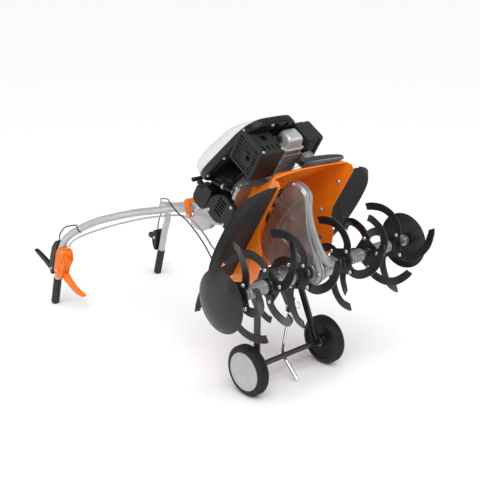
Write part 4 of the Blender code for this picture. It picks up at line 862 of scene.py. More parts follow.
def wheel_carriage():
    """Hinge tube, struts pressed as channels, axle with pins and the spur holder."""
    pivot = (0, PIVOT_Y, PIVOT_Z)
    half = CHASSIS_HALF - SHEET - 0.001
    frame_piece = Piece("wheel_carriage_frame", "black_steel", "wheel_carriage")
    frame_piece.add(lathe([(0, half), (0.0115, half), (0.0125, half - 0.001),
                           (0.0125, 0.001 - half), (0.0115, -half), (0, -half)], "x", pivot, 40))
    reach = WHEEL_X + 0.0188
    frame_piece.add(lathe([(0, reach), (0.0085, reach), (0.0095, reach - 0.001),
                           (0.0095, 0.001 - reach), (0.0085, -reach), (0, -reach)], "x",
                          (0, *WHEEL_CENTRE), 32))
    for side, _ in SIDES:
        top = Vector((side * 0.086, PIVOT_Y, PIVOT_Z))
        foot = Vector((side * 0.146, *WHEEL_CENTRE))
        frame_piece.add(flat_bar(top, foot, 0.026, 0.0032))
        along = (foot - top).normalized()
        across = along.cross(Vector((1, 0, 0))).normalized()
        for edge in (-1, 1):
            offset = across * (edge * 0.0118) - Vector((side * 0.0030, 0, 0))
            frame_piece.add(flat_bar(top + offset, foot + offset, 0.0026, 0.0080, 0.0006))
        for spot, radius in ((top, 0.0165), (foot, 0.0150)):
            frame_piece.add(lathe([(0, 0.0045), (radius - 0.001, 0.0045), (radius, 0.0035),
                                   (radius, -0.0035), (radius - 0.001, -0.0045), (0, -0.0045)],
                                  "x", spot, 40))
        frame_piece.add(tube(curve_through(
            [top + along * 0.05, (top + foot) / 2 + Vector((-side * 0.004, 0, 0)),
             foot - along * 0.04], 4), 0.0016, 8))
    for side, _ in SIDES:
        frame_piece.add(flat_bar((side * 0.0098, PIVOT_Y + 0.004, PIVOT_Z - 0.004),
                                 (side * 0.0098, SPUR_START.x + 0.008, SPUR_START.y),
                                 0.022, 0.0048, 0.0009))
    holder = along_spur(0.0125, -0.014, 0.036)
    frame_piece.add(carve(soften(holder, 0.0008, 2, 60), along_spur(0.0075, -0.05, 0.08)))
    frame_piece.done("wheel_carriage")
    pins = Piece("wheel_carriage_pins", "bright_steel", "wheel_carriage")
    for side, _ in SIDES:
        at = Vector((side * 0.1525, *WHEEL_CENTRE))
        pins.add(lathe([(0.0096, 0.0022), (0.0165, 0.0022), (0.0170, 0.0016), (0.0170, -0.0012),
                        (0.0096, -0.0012)], "x", at, 36))
        pins.bolt(Vector((side * 0.0915, PIVOT_Y, PIVOT_Z)), (side, 0, 0), 0.0070, 0.005)
    middle = SPUR_START + SPUR_DIRECTION * 0.012
    pins.add(tube([(-0.022, *middle), (0.0205, *middle)], 0.0028, 16))
    ring = [(0.0225 + 0.0002 * k, middle.x + 0.011 * sin(2 * pi * k / 24),
             middle.y - 0.011 + 0.011 * cos(2 * pi * k / 24)) for k in range(24)]
    pins.add(tube(ring, 0.0012, 10))
    pins.done()


def drag_spur():
    """Bent chrome bar with a row of adjusting holes."""
    top = SPUR_START - SPUR_DIRECTION * 0.020
    bend = SPUR_START + SPUR_DIRECTION * 0.208
    foot = Vector((0.4165, -0.1470))
    leg = (foot - bend).normalized()
    radius = 0.024
    first, last = bend - SPUR_DIRECTION * radius, bend + leg * radius
    points = [top, first - SPUR_DIRECTION * 0.001]
    for step in range(17):
        t = step / 16
        points.append((1 - t) ** 2 * first + 2 * t * (1 - t) * bend + t * t * last)
    points += [foot - leg * 0.001, foot]
    spur = Piece("drag_spur_bar", "chrome", "drag_spur", sharp=60)
    bar = soften(tube([(0, *p) for p in points], 0.0064, 28), 0.0012, 2, 60)
    holes = []
    for k in range(4):
        at = SPUR_START + SPUR_DIRECTION * (0.060 + 0.026 * k)
        holes.append(lathe([(0, 0.02), (0.0024, 0.02), (0.0024, -0.02), (0, -0.02)], "x",
                           (0, *at), 20))
    spur.add(carve(bar, *holes))
    spur.done("drag_spur")


for side, word in SIDES:
    wheel(side, word)
wheel_carriage()
drag_spur()


# ---------------------------------------------------------------- engine
CYLINDER_X, CYLINDER_Z = 0.030, 0.353
GUARD_LOW, GUARD_HIGH = Vector((-0.153, -0.262, 0.288)), Vector((-0.054, -0.148, 0.410))
SHROUD_SLOPE, RIM_DEPTH = 0.324, 0.026
SHROUD_PLAN = [(-0.152, -0.060), (-0.150, -0.240), (-0.136, -0.284), (-0.100, -0.306),
               (0.000, -0.304), (0.035, -0.296), (0.070, -0.262), (0.073, -0.141),
               (0.128, -0.128), (0.146, -0.050), (0.130, 0.022), (0.090, 0.046), (-0.090, 0.046),
               (-0.132, 0.026), (-0.148, -0.012)]


def rounded_plan(outline, radius, steps=5):
    """Round each corner of a closed (u, v) outline with a short arc-like curve."""
    points = []
    count = len(outline)
    for k in range(count):
        before, here, after = (Vector(outline[(k + j) % count]) for j in (-1, 0, 1))
        a = here + (before - here).normalized() * min(radius, (before - here).length * 0.45)
        b = here + (after - here).normalized() * min(radius, (after - here).length * 0.45)
        for step in range(steps + 1):
            t = step / steps
            p = (1 - t) ** 2 * a + 2 * t * (1 - t) * here + t * t * b
            points.append((p.x, p.y))
    return points


def drum(radius, low, high, sides=64, centre=(0, CRANK_Y, 0)):
    return lathe([(0, high), (radius, high), (radius, low), (0, low)], "z", centre, sides)


def engine_core():
    """Base casting, crankcase, finned cylinder and valve cover."""
    base = Piece("engine_base_casting", "cast_aluminium", "chassis")
    outline = [(-0.128, -0.068), (0.118, -0.068), (0.118, 0.060), (0.080, 0.098),
               (-0.060, 0.098), (-0.108, 0.060), (-0.108, -0.004), (-0.128, -0.016)]
    plate = slab(rounded_plan(outline, 0.012), DECK_Z + 0.0003, 0.3440, "z", 0.002)
    base.add(carve(plate, drum(0.0118, 0.30, 0.36)))
    for x in (-0.100, -0.070, 0.070, 0.096):
        base.add(box((x - 0.002, -0.066, 0.3435), (x + 0.002, -0.030, 0.3560), 0.0012))
    base.done("engine_base")
    case = Piece("crankcase_casting", "cast_aluminium", "chassis")
    case.add(lathe([(0.0118, 0.3443), (0.078, 0.3443), (0.078, 0.352), (0.0765, 0.356),
                    (0.0765, 0.366), (0.0785, 0.368), (0.0785, 0.374), (0.0760, 0.376),
                    (0.0748, 0.392), (0.0725, 0.401), (0.067, 0.407), (0.058, 0.410),
                    (0.0118, 0.410)], "z", (0, CRANK_Y, 0), 72))
    for k in range(14):
        turn = (Matrix.Translation((0, CRANK_Y, 0)) @ Matrix.Rotation(2 * pi * k / 14, 4, "Z"))
        case.add(box((0.070, -0.0014, 0.352), (0.0782, 0.0014, 0.400), 0.0006, 1), turn=turn)
    case.done("crankcase")
    bolts = Piece("crankcase_bolts", "bright_steel", "chassis")
    for x, y in ((-0.096, -0.052), (-0.096, 0.048), (0.104, -0.052), (0.104, 0.048),
                 (-0.118, -0.058), (0.062, 0.086)):
        bolts.bolt((x, y, 0.3440), (0, 0, 1), 0.0056, 0.0045)
    bolts.done()

    barrel = Piece("cylinder_fins", "cast_aluminium", "chassis")
    x, z = CYLINDER_X, CYLINDER_Z
    barrel.add(box((x - 0.027, -0.2155, z - 0.028), (x + 0.027, -0.070, z + 0.028), 0.004))
    y, fin, gap = -0.106, 0.0020, 0.0078
    while y > -0.2080:
        barrel.add(box((x - 0.039, y - fin, z - 0.041), (x + 0.039, y, z + 0.041), 0.0007, 1))
        y -= fin + gap - 0.0012
    for px, pz in ((-0.030, -0.031), (0.030, -0.031), (-0.030, 0.031), (0.030, 0.031)):
        barrel.add(lathe([(0, -0.104), (0.0052, -0.104), (0.0052, -0.2150), (0, -0.2150)], "y",
                         (x + px, 0, z + pz), 20))
    barrel.done("cylinder")

    cover = Piece("valve_cover_pressing", "silver_paint", "chassis")
    sections = [(-0.2160, 0.043, 0.036), (-0.2200, 0.043, 0.036), (-0.2212, 0.0420, 0.0350),
                (-0.2216, 0.0375, 0.0315), (-0.2240, 0.0355, 0.0300), (-0.2460, 0.0340, 0.0285),
                (-0.2530, 0.0318, 0.0262), (-0.2575, 0.0280, 0.0225), (-0.2595, 0.0230, 0.0180)]
    rings = []
    for y, wide, tall in sections:
        plan = rounded_plan([(x - wide, z - tall), (x + wide, z - tall), (x + wide, z + tall),
                             (x - wide, z + tall)], 0.011)
        rings.append([(u, y, v) for u, v in plan])
    cover.add(loft(rings))
    cover.add(soften(box((x - 0.016, -0.2605, z - 0.004), (x + 0.016, -0.2585, z + 0.004)), 0.0008))
    cover.done("valve_cover")
    heads = Piece("valve_cover_bolts", "bright_steel", "chassis")
    for px, pz in ((-0.037, -0.030), (0.037, -0.030), (-0.037, 0.030), (0.037, 0.030)):
        heads.bolt((x + px, -0.2206, z + pz), (0, -1, 0), 0.0046, 0.0042)
    heads.done()
    plug = Piece("spark_plug_boot", "rubber", "chassis")
    plug.add(lathe([(0, -0.2480), (0.0060, -0.2480), (0.0075, -0.2450), (0.0075, -0.2230),
                    (0.0055, -0.2200), (0, -0.2200)], "y", (x - 0.0465, 0, z + 0.004), 28))
    plug.add(tube(curve_through([(x - 0.0465, -0.240, z + 0.008), (x - 0.050, -0.236, z + 0.026),
                                 (x - 0.046, -0.212, z + 0.040), (x - 0.030, -0.170, z + 0.052)],
                                8), 0.0032, 16))
    plug.done()


def muffler_guard():
    """Louvred black box round the muffler."""
    low, high, wall = GUARD_LOW, GUARD_HIGH, 0.0030
    shell = box(low, high, 0.0075, 3)
    tools = [box(low + Vector((wall, wall, wall)), high + Vector((0.02, 0.02, -wall)), 0.004, 2)]
    for k in range(8):
        y = low.y + 0.0125 + 0.0118 * k
        spans = [(low.z + 0.014, low.z + 0.034), (low.z + 0.038, high.z - 0.014)]
        if k in (3, 4, 5):
            spans = [(low.z + 0.014, low.z + 0.026), (high.z - 0.052, high.z - 0.014)]
        for bottom, top in spans:
            tools.append(box((low.x - 0.01, y, bottom), (low.x + 0.01, y + 0.0066, top),
                             0.0012, 1))
    tools.append(lathe([(0, 0.01), (0.0090, 0.01), (0.0090, -0.01), (0, -0.01)], "x",
                       (low.x, low.y + 0.056, low.z + 0.046), 32))
    for k in range(4):
        x = low.x + 0.018 + 0.0195 * k
        for bottom, top in ((low.z + 0.014, low.z + 0.034), (high.z - 0.036, high.z - 0.016)):
            tools.append(box((x, low.y - 0.01, bottom), (x + 0.0085, low.y + 0.01, top), 0.0012, 1))
    tools.append(lathe([(0, -0.24), (0.0125, -0.24), (0.0125, -0.29), (0, -0.29)], "y",
                       (-0.100, 0, 0.352), 40))
    for k in range(4):
        x = low.x + 0.016 + 0.020 * k
        tools.append(box((x, -0.240, high.z - 0.01), (x + 0.009, -0.165, high.z + 0.01), 0.002, 1))
    guard = Piece("muffler_guard_shell", "dark_plastic", "chassis")
    guard.add(carve(shell, *tools))
    guard.add(lathe([(0.0125, -0.2600), (0.0125, -0.2645), (0.0165, -0.2645), (0.0180, -0.2615),
                     (0.0180, -0.2600)], "y", (-0.100, 0, 0.352), 40))
    guard.done("muffler_guard")
    screws = Piece("muffler_guard_screws", "bright_steel", "chassis")
    for x, z in ((low.x + 0.010, low.z + 0.008), (high.x - 0.010, low.z + 0.008),
                 (low.x + 0.010, high.z - 0.009), (high.x - 0.010, high.z - 0.009)):
        screws.bolt((x, low.y, z), (0, -1, 0), 0.0036, 0.0026)
    screws.done()
    can = Piece("muffler_can", "black_steel", "chassis")
    can.add(box(low + Vector((0.009, 0.012, 0.010)), high + Vector((-0.016, -0.006, -0.010)),
                0.012, 3))
    can.add(lathe([(0.0085, -0.232), (0.0085, -0.2575), (0.0100, -0.2575), (0.0100, -0.232)], "y",
                  (-0.100, 0, 0.352), 32))
    can.done("muffler")


def intake_side():
    """Air filter box, carburettor and fuel hose on the right of the cylinder."""
    low, high = Vector((0.078, -0.254, 0.316)), Vector((0.150, -0.144, 0.404))
    lid = low.x + 0.046
    filter_box = Piece("air_filter_housing", "dark_plastic", "chassis")
    filter_box.add(box(low, (lid - 0.0008, high.y, high.z), 0.007, 3))
    filter_box.add(box((lid + 0.0008, low.y, low.z), high, 0.009, 3))
    filter_box.add(box((lid - 0.004, low.y + 0.004, low.z + 0.004),
                       (lid + 0.004, high.y - 0.004, high.z - 0.004)))
    for k in range(5):
        z = low.z + 0.016 + 0.0135 * k
        filter_box.add(box((low.x + 0.006, low.y - 0.0012, z), (lid - 0.006, low.y + 0.002,
                                                                 z + 0.0040), 0.0008, 1))
    filter_box.add(lathe([(0, 0.0016), (0.0095, 0.0016), (0.0110, 0.0006), (0.0110, -0.003),
                          (0, -0.003)], "x", (high.x, -0.200, 0.360), 24))
    filter_box.done("air_filter_box")
    carb = Piece("carburettor_body", "cast_aluminium", "chassis")
    carb.add(box((0.078, -0.205, 0.286), (0.108, -0.152, 0.3150), 0.004, 2))
    carb.add(lathe([(0, 0.2730), (0.0100, 0.2730), (0.0122, 0.2745), (0.0128, 0.2860), (0.0148, 0.2868),
                    (0.0148, 0.2895), (0, 0.2895)], "z", (0.093, -0.180, 0), 36))
    carb.add(lathe([(0, -0.2070), (0.0100, -0.2070), (0.0110, -0.2060), (0.0110, -0.1980),
                    (0, -0.1980)], "y", (0.094, 0, 0.3010), 28))
    carb.add(box((0.0700, -0.202, 0.288), (0.0795, -0.156, 0.3140), 0.002, 2))
    carb.done("carburettor")
    links = Piece("carburettor_linkage", "bright_steel", "chassis")
    links.bolt((0.093, -0.180, 0.2735), (0, 0, -1), 0.0045, 0.003)
    links.bolt((0.1080, -0.165, 0.3000), (1, 0, 0), 0.0034, 0.003)
    links.add(tube(curve_through([(0.1105, -0.192, 0.3080), (0.1125, -0.160, 0.3100),
                                  (0.1120, -0.120, 0.3300), (0.1080, -0.090, 0.3480)], 6),
                   0.0010, 10))
    links.add(box((0.1085, -0.196, 0.2990), (0.1100, -0.186, 0.3120), 0.0005, 1))
    links.done()
    hose = Piece("fuel_hose", "rubber", "chassis")
    hose.add(tube(curve_through([(0.100, -0.1520, 0.2960), (0.104, -0.130, 0.2980),
                                 (0.118, -0.096, 0.318), (0.122, -0.070, 0.350),
                                 (0.118, -0.052, 0.372)], 8), 0.0036, 18))
    hose.done()


def shroud_level(y):
    """Height of the tilted plane that the engine's covers meet on."""
    return 0.394 + SHROUD_SLOPE * (y + 0.307)


def shroud_ring(scale, lift, centre=(0.0, -0.10)):
    plan = rounded_plan(SHROUD_PLAN, 0.026, 4)
    points = []
    for x, y in plan:
        nx, ny = centre[0] + (x - centre[0]) * scale, centre[1] + (y - centre[1]) * scale
        points.append((nx, ny, shroud_level(ny) + lift))
    return points


def cowl():
    """Black cowl under the hood: a rimmed tilted plate on a drum round the flywheel."""
    housing = loft([shroud_ring(0.972, -RIM_DEPTH), shroud_ring(0.984, 0.0025 - RIM_DEPTH),
                    shroud_ring(0.984, -0.0045), shroud_ring(0.978, -0.003)])
    dish = loft([shroud_ring(0.945, 0.0045 - RIM_DEPTH), shroud_ring(0.950, 0.06)])
    barrel = carve(drum(0.0880, 0.4108, 0.640, 96),
                   loft([shroud_ring(1.5, 0.003 - RIM_DEPTH), shroud_ring(1.5, 0.30)]))
    room = box(GUARD_LOW - Vector((0.004, 0.004, 0)), GUARD_HIGH + Vector((0.004, 0.004, 0.004)))
    housing = carve(carve(housing, dish), barrel, operation="UNION")
    housing = carve(housing, drum(0.0840, 0.40, 0.4410), drum(0.045, 0.43, 0.60), room)
    piece = Piece("cowl_moulding", "black_plastic", "chassis", sharp=32)
    piece.add(housing)
    for x, y0, y1 in ((-0.030, -0.290, -0.080), (0.010, -0.290, -0.080), (0.050, -0.262, -0.080),
                      (-0.128, -0.135, -0.020), (0.100, -0.118, 0.000)):
        rib = [(x, y, shroud_level(y) - RIM_DEPTH - 0.002) for y in (y0, (y0 + y1) / 2, y1)]
        piece.add(sweep(rib, [(-0.0013, -0.0030), (0.0013, -0.0030), (0.0013, 0.0040),
                              (-0.0013, 0.0040)], up=(0, 0, 1)))
    for k in range(20):
        turn = Matrix.Translation((0, CRANK_Y, 0)) @ Matrix.Rotation(2 * pi * k / 20, 4, "Z")
        piece.add(box((0.0870, -0.0016, 0.4130), (0.0886, 0.0016, 0.4380), 0.0004, 1), turn=turn)
    piece.done("blower_housing")
    bolts = Piece("cowl_bolts", "bright_steel", "chassis")
    for x, y in ((-0.140, -0.120), (0.058, -0.240), (-0.060, -0.292), (0.132, -0.060),
                 (0.112, -0.116), (-0.136, -0.010)):
        bolts.bolt((x, y, shroud_level(y) - RIM_DEPTH), (0, 0.308, -0.951), 0.0046, 0.0040)
    bolts.done()


def engine_hood():
    """White dome standing on a black skirt, low at its front, with cooling louvres."""
    def dome_ring(scale, lift):
        ring = []
        for x, y, z in shroud_ring(scale, 0.0):
            rise = sin(0.5 * pi * min(1.0, max(0.0, (y + 0.310) / 0.20))) ** 0.8
            ring.append((x, y, z + 0.0014 + (lift - 0.0014) * max(0.03, rise)))
        return ring

    outer = [(0.992, 0.0014), (0.998, 0.0034), (0.993, 0.0130), (0.978, 0.0250), (0.952, 0.0360),
             (0.914, 0.0450), (0.856, 0.0530), (0.770, 0.0595), (0.650, 0.0640), (0.500, 0.0670),
             (0.300, 0.0685)]
    inner = [(0.976, 0.0012), (0.972, 0.0110), (0.957, 0.0220), (0.931, 0.0325), (0.894, 0.0410),
             (0.838, 0.0487), (0.752, 0.0552), (0.635, 0.0595), (0.450, 0.0630)]
    tools = [loft([dome_ring(s, h) for s, h in inner])]
    for k in range(9):
        x = -0.060 + 0.015 * k
        y0 = -0.010
        z = shroud_level(y0) + 0.056
        tilt = Matrix.Translation((x, y0, z)) @ Matrix.Rotation(0.31, 4, "X")
        slot_tool = box((-0.0028, -0.045, -0.03), (0.0028, 0.030, 0.03), 0.0020, 1)
        slot_tool.transform(tilt)
        tools.append(slot_tool)
    piece = Piece("engine_hood_shell", "white_plastic", "chassis", sharp=32)
    piece.add(carve(loft([dome_ring(s, h) for s, h in outer]), *tools))
    piece.done("engine_hood")
    skirt = Piece("engine_hood_skirt", "black_plastic", "chassis", sharp=32)
    shell = loft([shroud_ring(s, h) for s, h in ((0.995, -0.0225), (0.999, -0.0205),
                                                 (0.999, 0.0004), (0.996, 0.0010))])
    skirt.add(carve(shell, loft([shroud_ring(0.988, -0.03), shroud_ring(0.988, 0.01)])))
    skirt.done()


def tank_and_fairing():
    outline = [(0.040, 0.430), (0.036, 0.466), (0.062, 0.474), (0.068, 0.503), (0.120, 0.503),
               (0.134, 0.488), (0.134, 0.446), (0.118, 0.430)]
    tank = slab(rounded_plan(outline, 0.010), -0.126, 0.090, "x", 0.0045, 3)
    tank = carve(tank, drum(0.0886, 0.40, 0.60, 96))
    piece = Piece("fuel_tank_moulding", "black_plastic", "chassis", sharp=32)
    piece.add(tank)
    hexagon = [(0.088 + 0.026 * cos(radians(a)), 0.468 + 0.024 * sin(radians(a)))
               for a in range(0, 360, 60)]
    piece.add(slab(rounded_plan(hexagon, 0.005), -0.1262, -0.1235, "x", 0.0010))
    piece.add(box((-0.108, 0.068, 0.495), (-0.092, 0.084, 0.5240), 0.003, 2))
    seam_y = 0.1342
    piece.add(box((-0.122, seam_y - 0.004, 0.4640), (0.086, seam_y + 0.0004, 0.4668),
                  0.0008, 1))
    piece.add(lathe([(0, 0.5036), (0.0225, 0.5036), (0.0235, 0.5028), (0.0235, 0.500), (0, 0.500)],
                    "z", (-0.060, 0.108, 0), 40))
    piece.done("fuel_tank")
    cap = Piece("fuel_cap_knob", "black_plastic", "fuel_cap")
    cap.add(lathe([(0, 0.5236), (0.0120, 0.5236), (0.0135, 0.5226), (0.0145, 0.5226),
                   (0.0160, 0.5238), (0.0178, 0.5232), (0.0190, 0.5215), (0.0192, 0.5060),
                   (0.0185, 0.5045), (0, 0.5045)], "z", (-0.060, 0.108, 0), 48))
    for k in range(18):
        turn = (Matrix.Translation((-0.060, 0.108, 0)) @ Matrix.Rotation(2 * pi * k / 18, 4, "Z"))
        cap.add(box((0.0180, -0.0012, 0.5060), (0.0199, 0.0012, 0.5215), 0.0005, 1), turn=turn)
    cap.done("fuel_cap")

    outline = [(0.000, 0.3446), (0.003, 0.380), (0.026, 0.408), (0.056, 0.428), (0.104, 0.428),
               (0.118, 0.404), (0.118, 0.366), (0.106, 0.3446)]
    fairing = slab(rounded_plan(outline, 0.010), -0.126, 0.060, "x", 0.0050, 3)
    skirt = box((-0.1262, 0.004, 0.312), (-0.1100, 0.104, 0.380), 0.0045, 3)
    low = drum(0.0805, 0.33, 0.43, 96)
    high = drum(0.0890, 0.4100, 0.60, 96)
    vents = [box((-0.14, 0.020 + 0.0135 * k, 0.352), (-0.118, 0.027 + 0.0135 * k, 0.392), 0.002, 1)
             for k in range(5)]
    piece = Piece("rear_fairing_moulding", "black_plastic", "chassis", sharp=32)
    piece.add(carve(carve(fairing, skirt, operation="UNION"), low, high, *vents))
    piece.done("rear_fairing")
    screws = Piece("fairing_screws", "bright_steel", "chassis")
    for y, z in ((0.014, 0.330), (0.094, 0.330), (0.100, 0.412)):
        screws.bolt((-0.1260, y, z), (-1, 0, 0), 0.0038, 0.0024)
    screws.done()


def filler_and_starter():
    route = [(-0.1120, -0.0325, 0.3456), (-0.1120, -0.0320, 0.3520), (-0.1120, -0.0160, 0.3900),
             (-0.1120, 0.0060, 0.4420), (-0.1120, 0.0100, 0.4520)]
    filler = Piece("oil_filler_pipe", "black_plastic", "chassis", sharp=50)
    filler.add(tube(curve_through(route, 6), 0.0074, 28))
    filler.done("oil_filler_tube")
    collar = Piece("oil_filler_collar", "bright_steel", "chassis")
    way = (Vector(route[3]) - Vector(route[2])).normalized()
    collar.add(lathe([(0.0070, 0.0), (0.0098, 0.0), (0.0104, 0.0010), (0.0104, 0.0070),
                      (0.0098, 0.0080), (0.0070, 0.0080)], way, Vector(route[2]) + way * 0.012, 32))
    collar.add(lathe([(0.0070, 0.0), (0.0104, 0.0), (0.0108, 0.0012), (0.0104, 0.0024),
                      (0.0070, 0.0024)], way, Vector(route[1]) + way * 0.004, 32))
    collar.done()
    knob = Piece("starter_handle", "black_plastic", "starter_grip", sharp=60)
    knob.add(lathe([(0, -0.022), (0.0050, -0.022), (0.0072, -0.0205), (0.0082, -0.0170),
                    (0.0078, -0.0120), (0.0070, -0.0060), (0.0076, -0.0010), (0.0070, 0.0050),
                    (0.0078, 0.0120), (0.0082, 0.0170), (0.0072, 0.0205), (0.0050, 0.022),
                    (0, 0.022)], "x", (-0.100, 0.076, 0.5330), 36))
    knob.done("starter_grip")
    rope = Piece("starter_rope", "black_plastic", None, sharp=60)
    foot, head = Vector((-0.100, 0.076, 0.5200)), Vector((-0.100, 0.076, 0.5320))
    rope.add(tube([foot + (head - foot) * k / 24 for k in range(25)], 0.0017, 12))
    cord = rope.done(weighted=False)
    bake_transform(cord)


engine_core()
muffler_guard()
intake_side()
cowl()
engine_hood()
tank_and_fairing()
filler_and_starter()


# ---------------------------------------------------------------- handlebar
def on_bar(distance, side=0.0, across=0.0):
    """Place along the main tube from the hinge, in the machine frame."""
    return Vector((side, BAR_PIVOT[0] + distance * BAR_DIRECTION[0] + across * BAR_DIRECTION[1],
                   BAR_PIVOT[1] + distance * BAR_DIRECTION[1] - across * BAR_DIRECTION[0]))


def bar_in_floor(distance, side=0.0, across=0.0):
    return TO_MACHINE.inverted() @ on_bar(distance, side, across)


def grip_point(side, distance):
    """Point on a grip's axis, measured up from its lower end."""
    return Vector((side * GRIP_X, 1.1100, 0.0048)) + Vector((0, -0.2955, 0.9553)) * distance


ARM_KNOTS = [(0.006, 0.568, 0.4850), (0.020, 0.610, 0.4740), (0.040, 0.660, 0.4600),
             (0.073, 0.765, 0.4330), (0.112, 0.842, 0.4080), (0.160, 0.915, 0.3800),
             (0.213, 0.966, 0.3460), (0.248, 1.000, 0.3120), (0.262, 1.022, 0.2700)]


def arm_path(side):
    path = [Vector((side * x, y, z)) for x, y, z in ARM_KNOTS]
    path += [grip_point(side, 0.2316), grip_point(side, 0.170), grip_point(side, 0.080),
             grip_point(side, 0.010)]
    return curve_through(path, 8)


def handlebar():
    bar = Piece("handlebar_tubes", "silver_paint", "handlebar", FLOOR, sharp=50)
    main = [bar_in_floor(0.045), bar_in_floor(0.080), Vector((0, 0.560, 0.4860)),
            Vector((0, 0.590, 0.4790))]
    bar.add(tube(curve_through(main, 8), MAIN_TUBE_R, 36))
    bar.add(soften(loft([[bar_in_floor(d, x, a) for x, a in ((-0.0100, -0.013), (0.0100, -0.013),
                                                            (0.0100, 0.013), (-0.0100, 0.013))]
                         for d in (-0.014, 0.055)]), 0.0020))
    for side, _ in SIDES:
        bar.add(tube(arm_path(side), TUBE_R, 32))
        weld = curve_through([(side * 0.016, 0.590, 0.4945), (side * 0.020, 0.604, 0.4905),
                              (side * 0.017, 0.612, 0.4800), (side * 0.012, 0.608, 0.4660)], 6)
        bar.add(tube(weld, 0.0022, 10))
    bar.add(soften(loft([[(-0.030, 0.640, z), (0.030, 0.640, z), (0.046, 0.690, z - 0.012),
                          (-0.046, 0.690, z - 0.012)] for z in (0.4640, 0.4680)]), 0.0010))
    bar.done("handlebar")
    fittings = Piece("handlebar_fittings", "bright_steel", "handlebar", FLOOR)
    hinge = TO_MACHINE.inverted() @ Vector((0, *BAR_PIVOT))
    fittings.add(lathe([(0, 0.0105), (0.0075, 0.0105), (0.0075, -0.0105), (0, -0.0105)], "x",
                       hinge, 32))
    fittings.bolt((0.018, 0.664, 0.4668), (0, 0.23, 0.97), 0.0050, 0.004)
    fittings.bolt((-0.018, 0.664, 0.4668), (0, 0.23, 0.97), 0.0050, 0.004)
    fittings.done()

    clamp = Piece("clamp_collar", "orange_plastic", "handlebar", FLOOR)
    half, low, high = 0.0268, -0.0338, 0.0358
    plan = rounded_plan([(-half, low), (half, low), (half, high), (-half, high)], 0.010)
    block = soften(loft([[bar_in_floor(d, x, a) for x, a in plan] for d in (0.0402, 0.0658)]),
                   0.0018, 2, 60)
    bore = tube([bar_in_floor(0.0), bar_in_floor(0.12)], MAIN_TUBE_R + 0.0004, 40)
    slot_tool = loft([[bar_in_floor(d, x, a) for x, a in ((-0.0165, 0.0), (0.0165, 0.0),
                                                          (0.0165, 0.1), (-0.0165, 0.1))]
                      for d in (0.0, 0.2)])
    clamp.add(carve(block, bore, slot_tool))
    clamp.done("handlebar_clamp")
    studs = Piece("clamp_studs", "bright_steel", "handlebar", FLOOR)
    for side in (-1, 1):
        at = bar_in_floor(0.053, side * half * 0.998, 0.026)
        studs.bolt(at, (side, 0, 0), 0.0052, 0.0030)
    studs.done()

    bracket = Piece("bracket_plates", "silver_paint", "chassis", sharp=32)
    teeth = []
    for k in range(19):
        a = -88 + 90 * k / 18
        teeth += arc(*BAR_PIVOT, 0.0850 if k % 2 else 0.0815, a, a + 2.0, 1)
    outline = ([(0.108, DECK_Z + 0.0003), (0.196, DECK_Z + 0.0003), (0.206, 0.405)] + teeth
               + arc(*BAR_PIVOT, 0.020, 60, 150, 10) + [(0.150, 0.425)])
    for low_x, high_x in ((-0.0150, -0.0110), (0.0110, 0.0150)):
        opening = slab(rounded_plan([(0.146, 0.360), (0.182, 0.360), (0.188, 0.400),
                                     (0.172, 0.420)], 0.010), low_x - 0.01, high_x + 0.01)
        bracket.add(soften(carve(slab(outline, low_x, high_x), opening), 0.0007, 1, 60))
    bracket.add(box((-0.024, 0.110, DECK_Z + 0.0003), (0.045, 0.194, 0.3420), 0.0020))
    bracket.done("handlebar_bracket")
    bolts = Piece("bracket_bolts", "bright_steel", "chassis")
    for x, y in ((0.036, 0.122), (0.036, 0.182), (-0.0185, 0.122), (-0.0185, 0.182)):
        bolts.bolt((x, y, 0.3420), (0, 0, 1), 0.0042, 0.0040)
    for side in (-1, 1):
        bolts.bolt((side * 0.0150, *BAR_PIVOT), (side, 0, 0), 0.0085, 0.0060)
    bolts.done()


def grips():
    for side, word in SIDES:
        inner = TUBE_R + 0.0006
        profile = [(inner, GRIP_LENGTH), (GRIP_R, GRIP_LENGTH), (GRIP_R + 0.001, GRIP_LENGTH - 0.002),
                   (GRIP_R + 0.001, GRIP_LENGTH - 0.006), (GRIP_R - 0.0004, GRIP_LENGTH - 0.008)]
        height = GRIP_LENGTH - 0.012
        while height > 0.016:
            profile += [(GRIP_R, height), (GRIP_R, height - 0.0030),
                        (GRIP_R - 0.0011, height - 0.0038), (GRIP_R - 0.0011, height - 0.0050)]
            height -= 0.0058
        profile += [(GRIP_R, 0.010), (GRIP_R, 0.0035), (GRIP_R - 0.0008, 0.0012),
                    (GRIP_R - 0.0026, 0.0), (0, 0.0), (0, 0.006), (inner, 0.006)]
        piece = Piece(f"grip_{word}_sleeve", "rubber", "handlebar", FLOOR, sharp=30)
        piece.add(lathe(profile, (0, -0.2955, 0.9553), grip_point(side, 0), 56))
        piece.done(f"grip_{word}")


def control(name, slot, body, outline, middle, half, soft, node, bores=(), radius=0.006,
            extra=()):
    """A rounded moulded part lying across x, with its clearance bores."""
    block = slab(rounded_plan(outline, radius, 4), middle - half, middle + half, "x", soft, 3)
    if bores:
        block = carve(block, *bores)
    piece = Piece(name, slot, body, FLOOR, sharp=32)
    piece.add(block, *extra)
    piece.done(node)


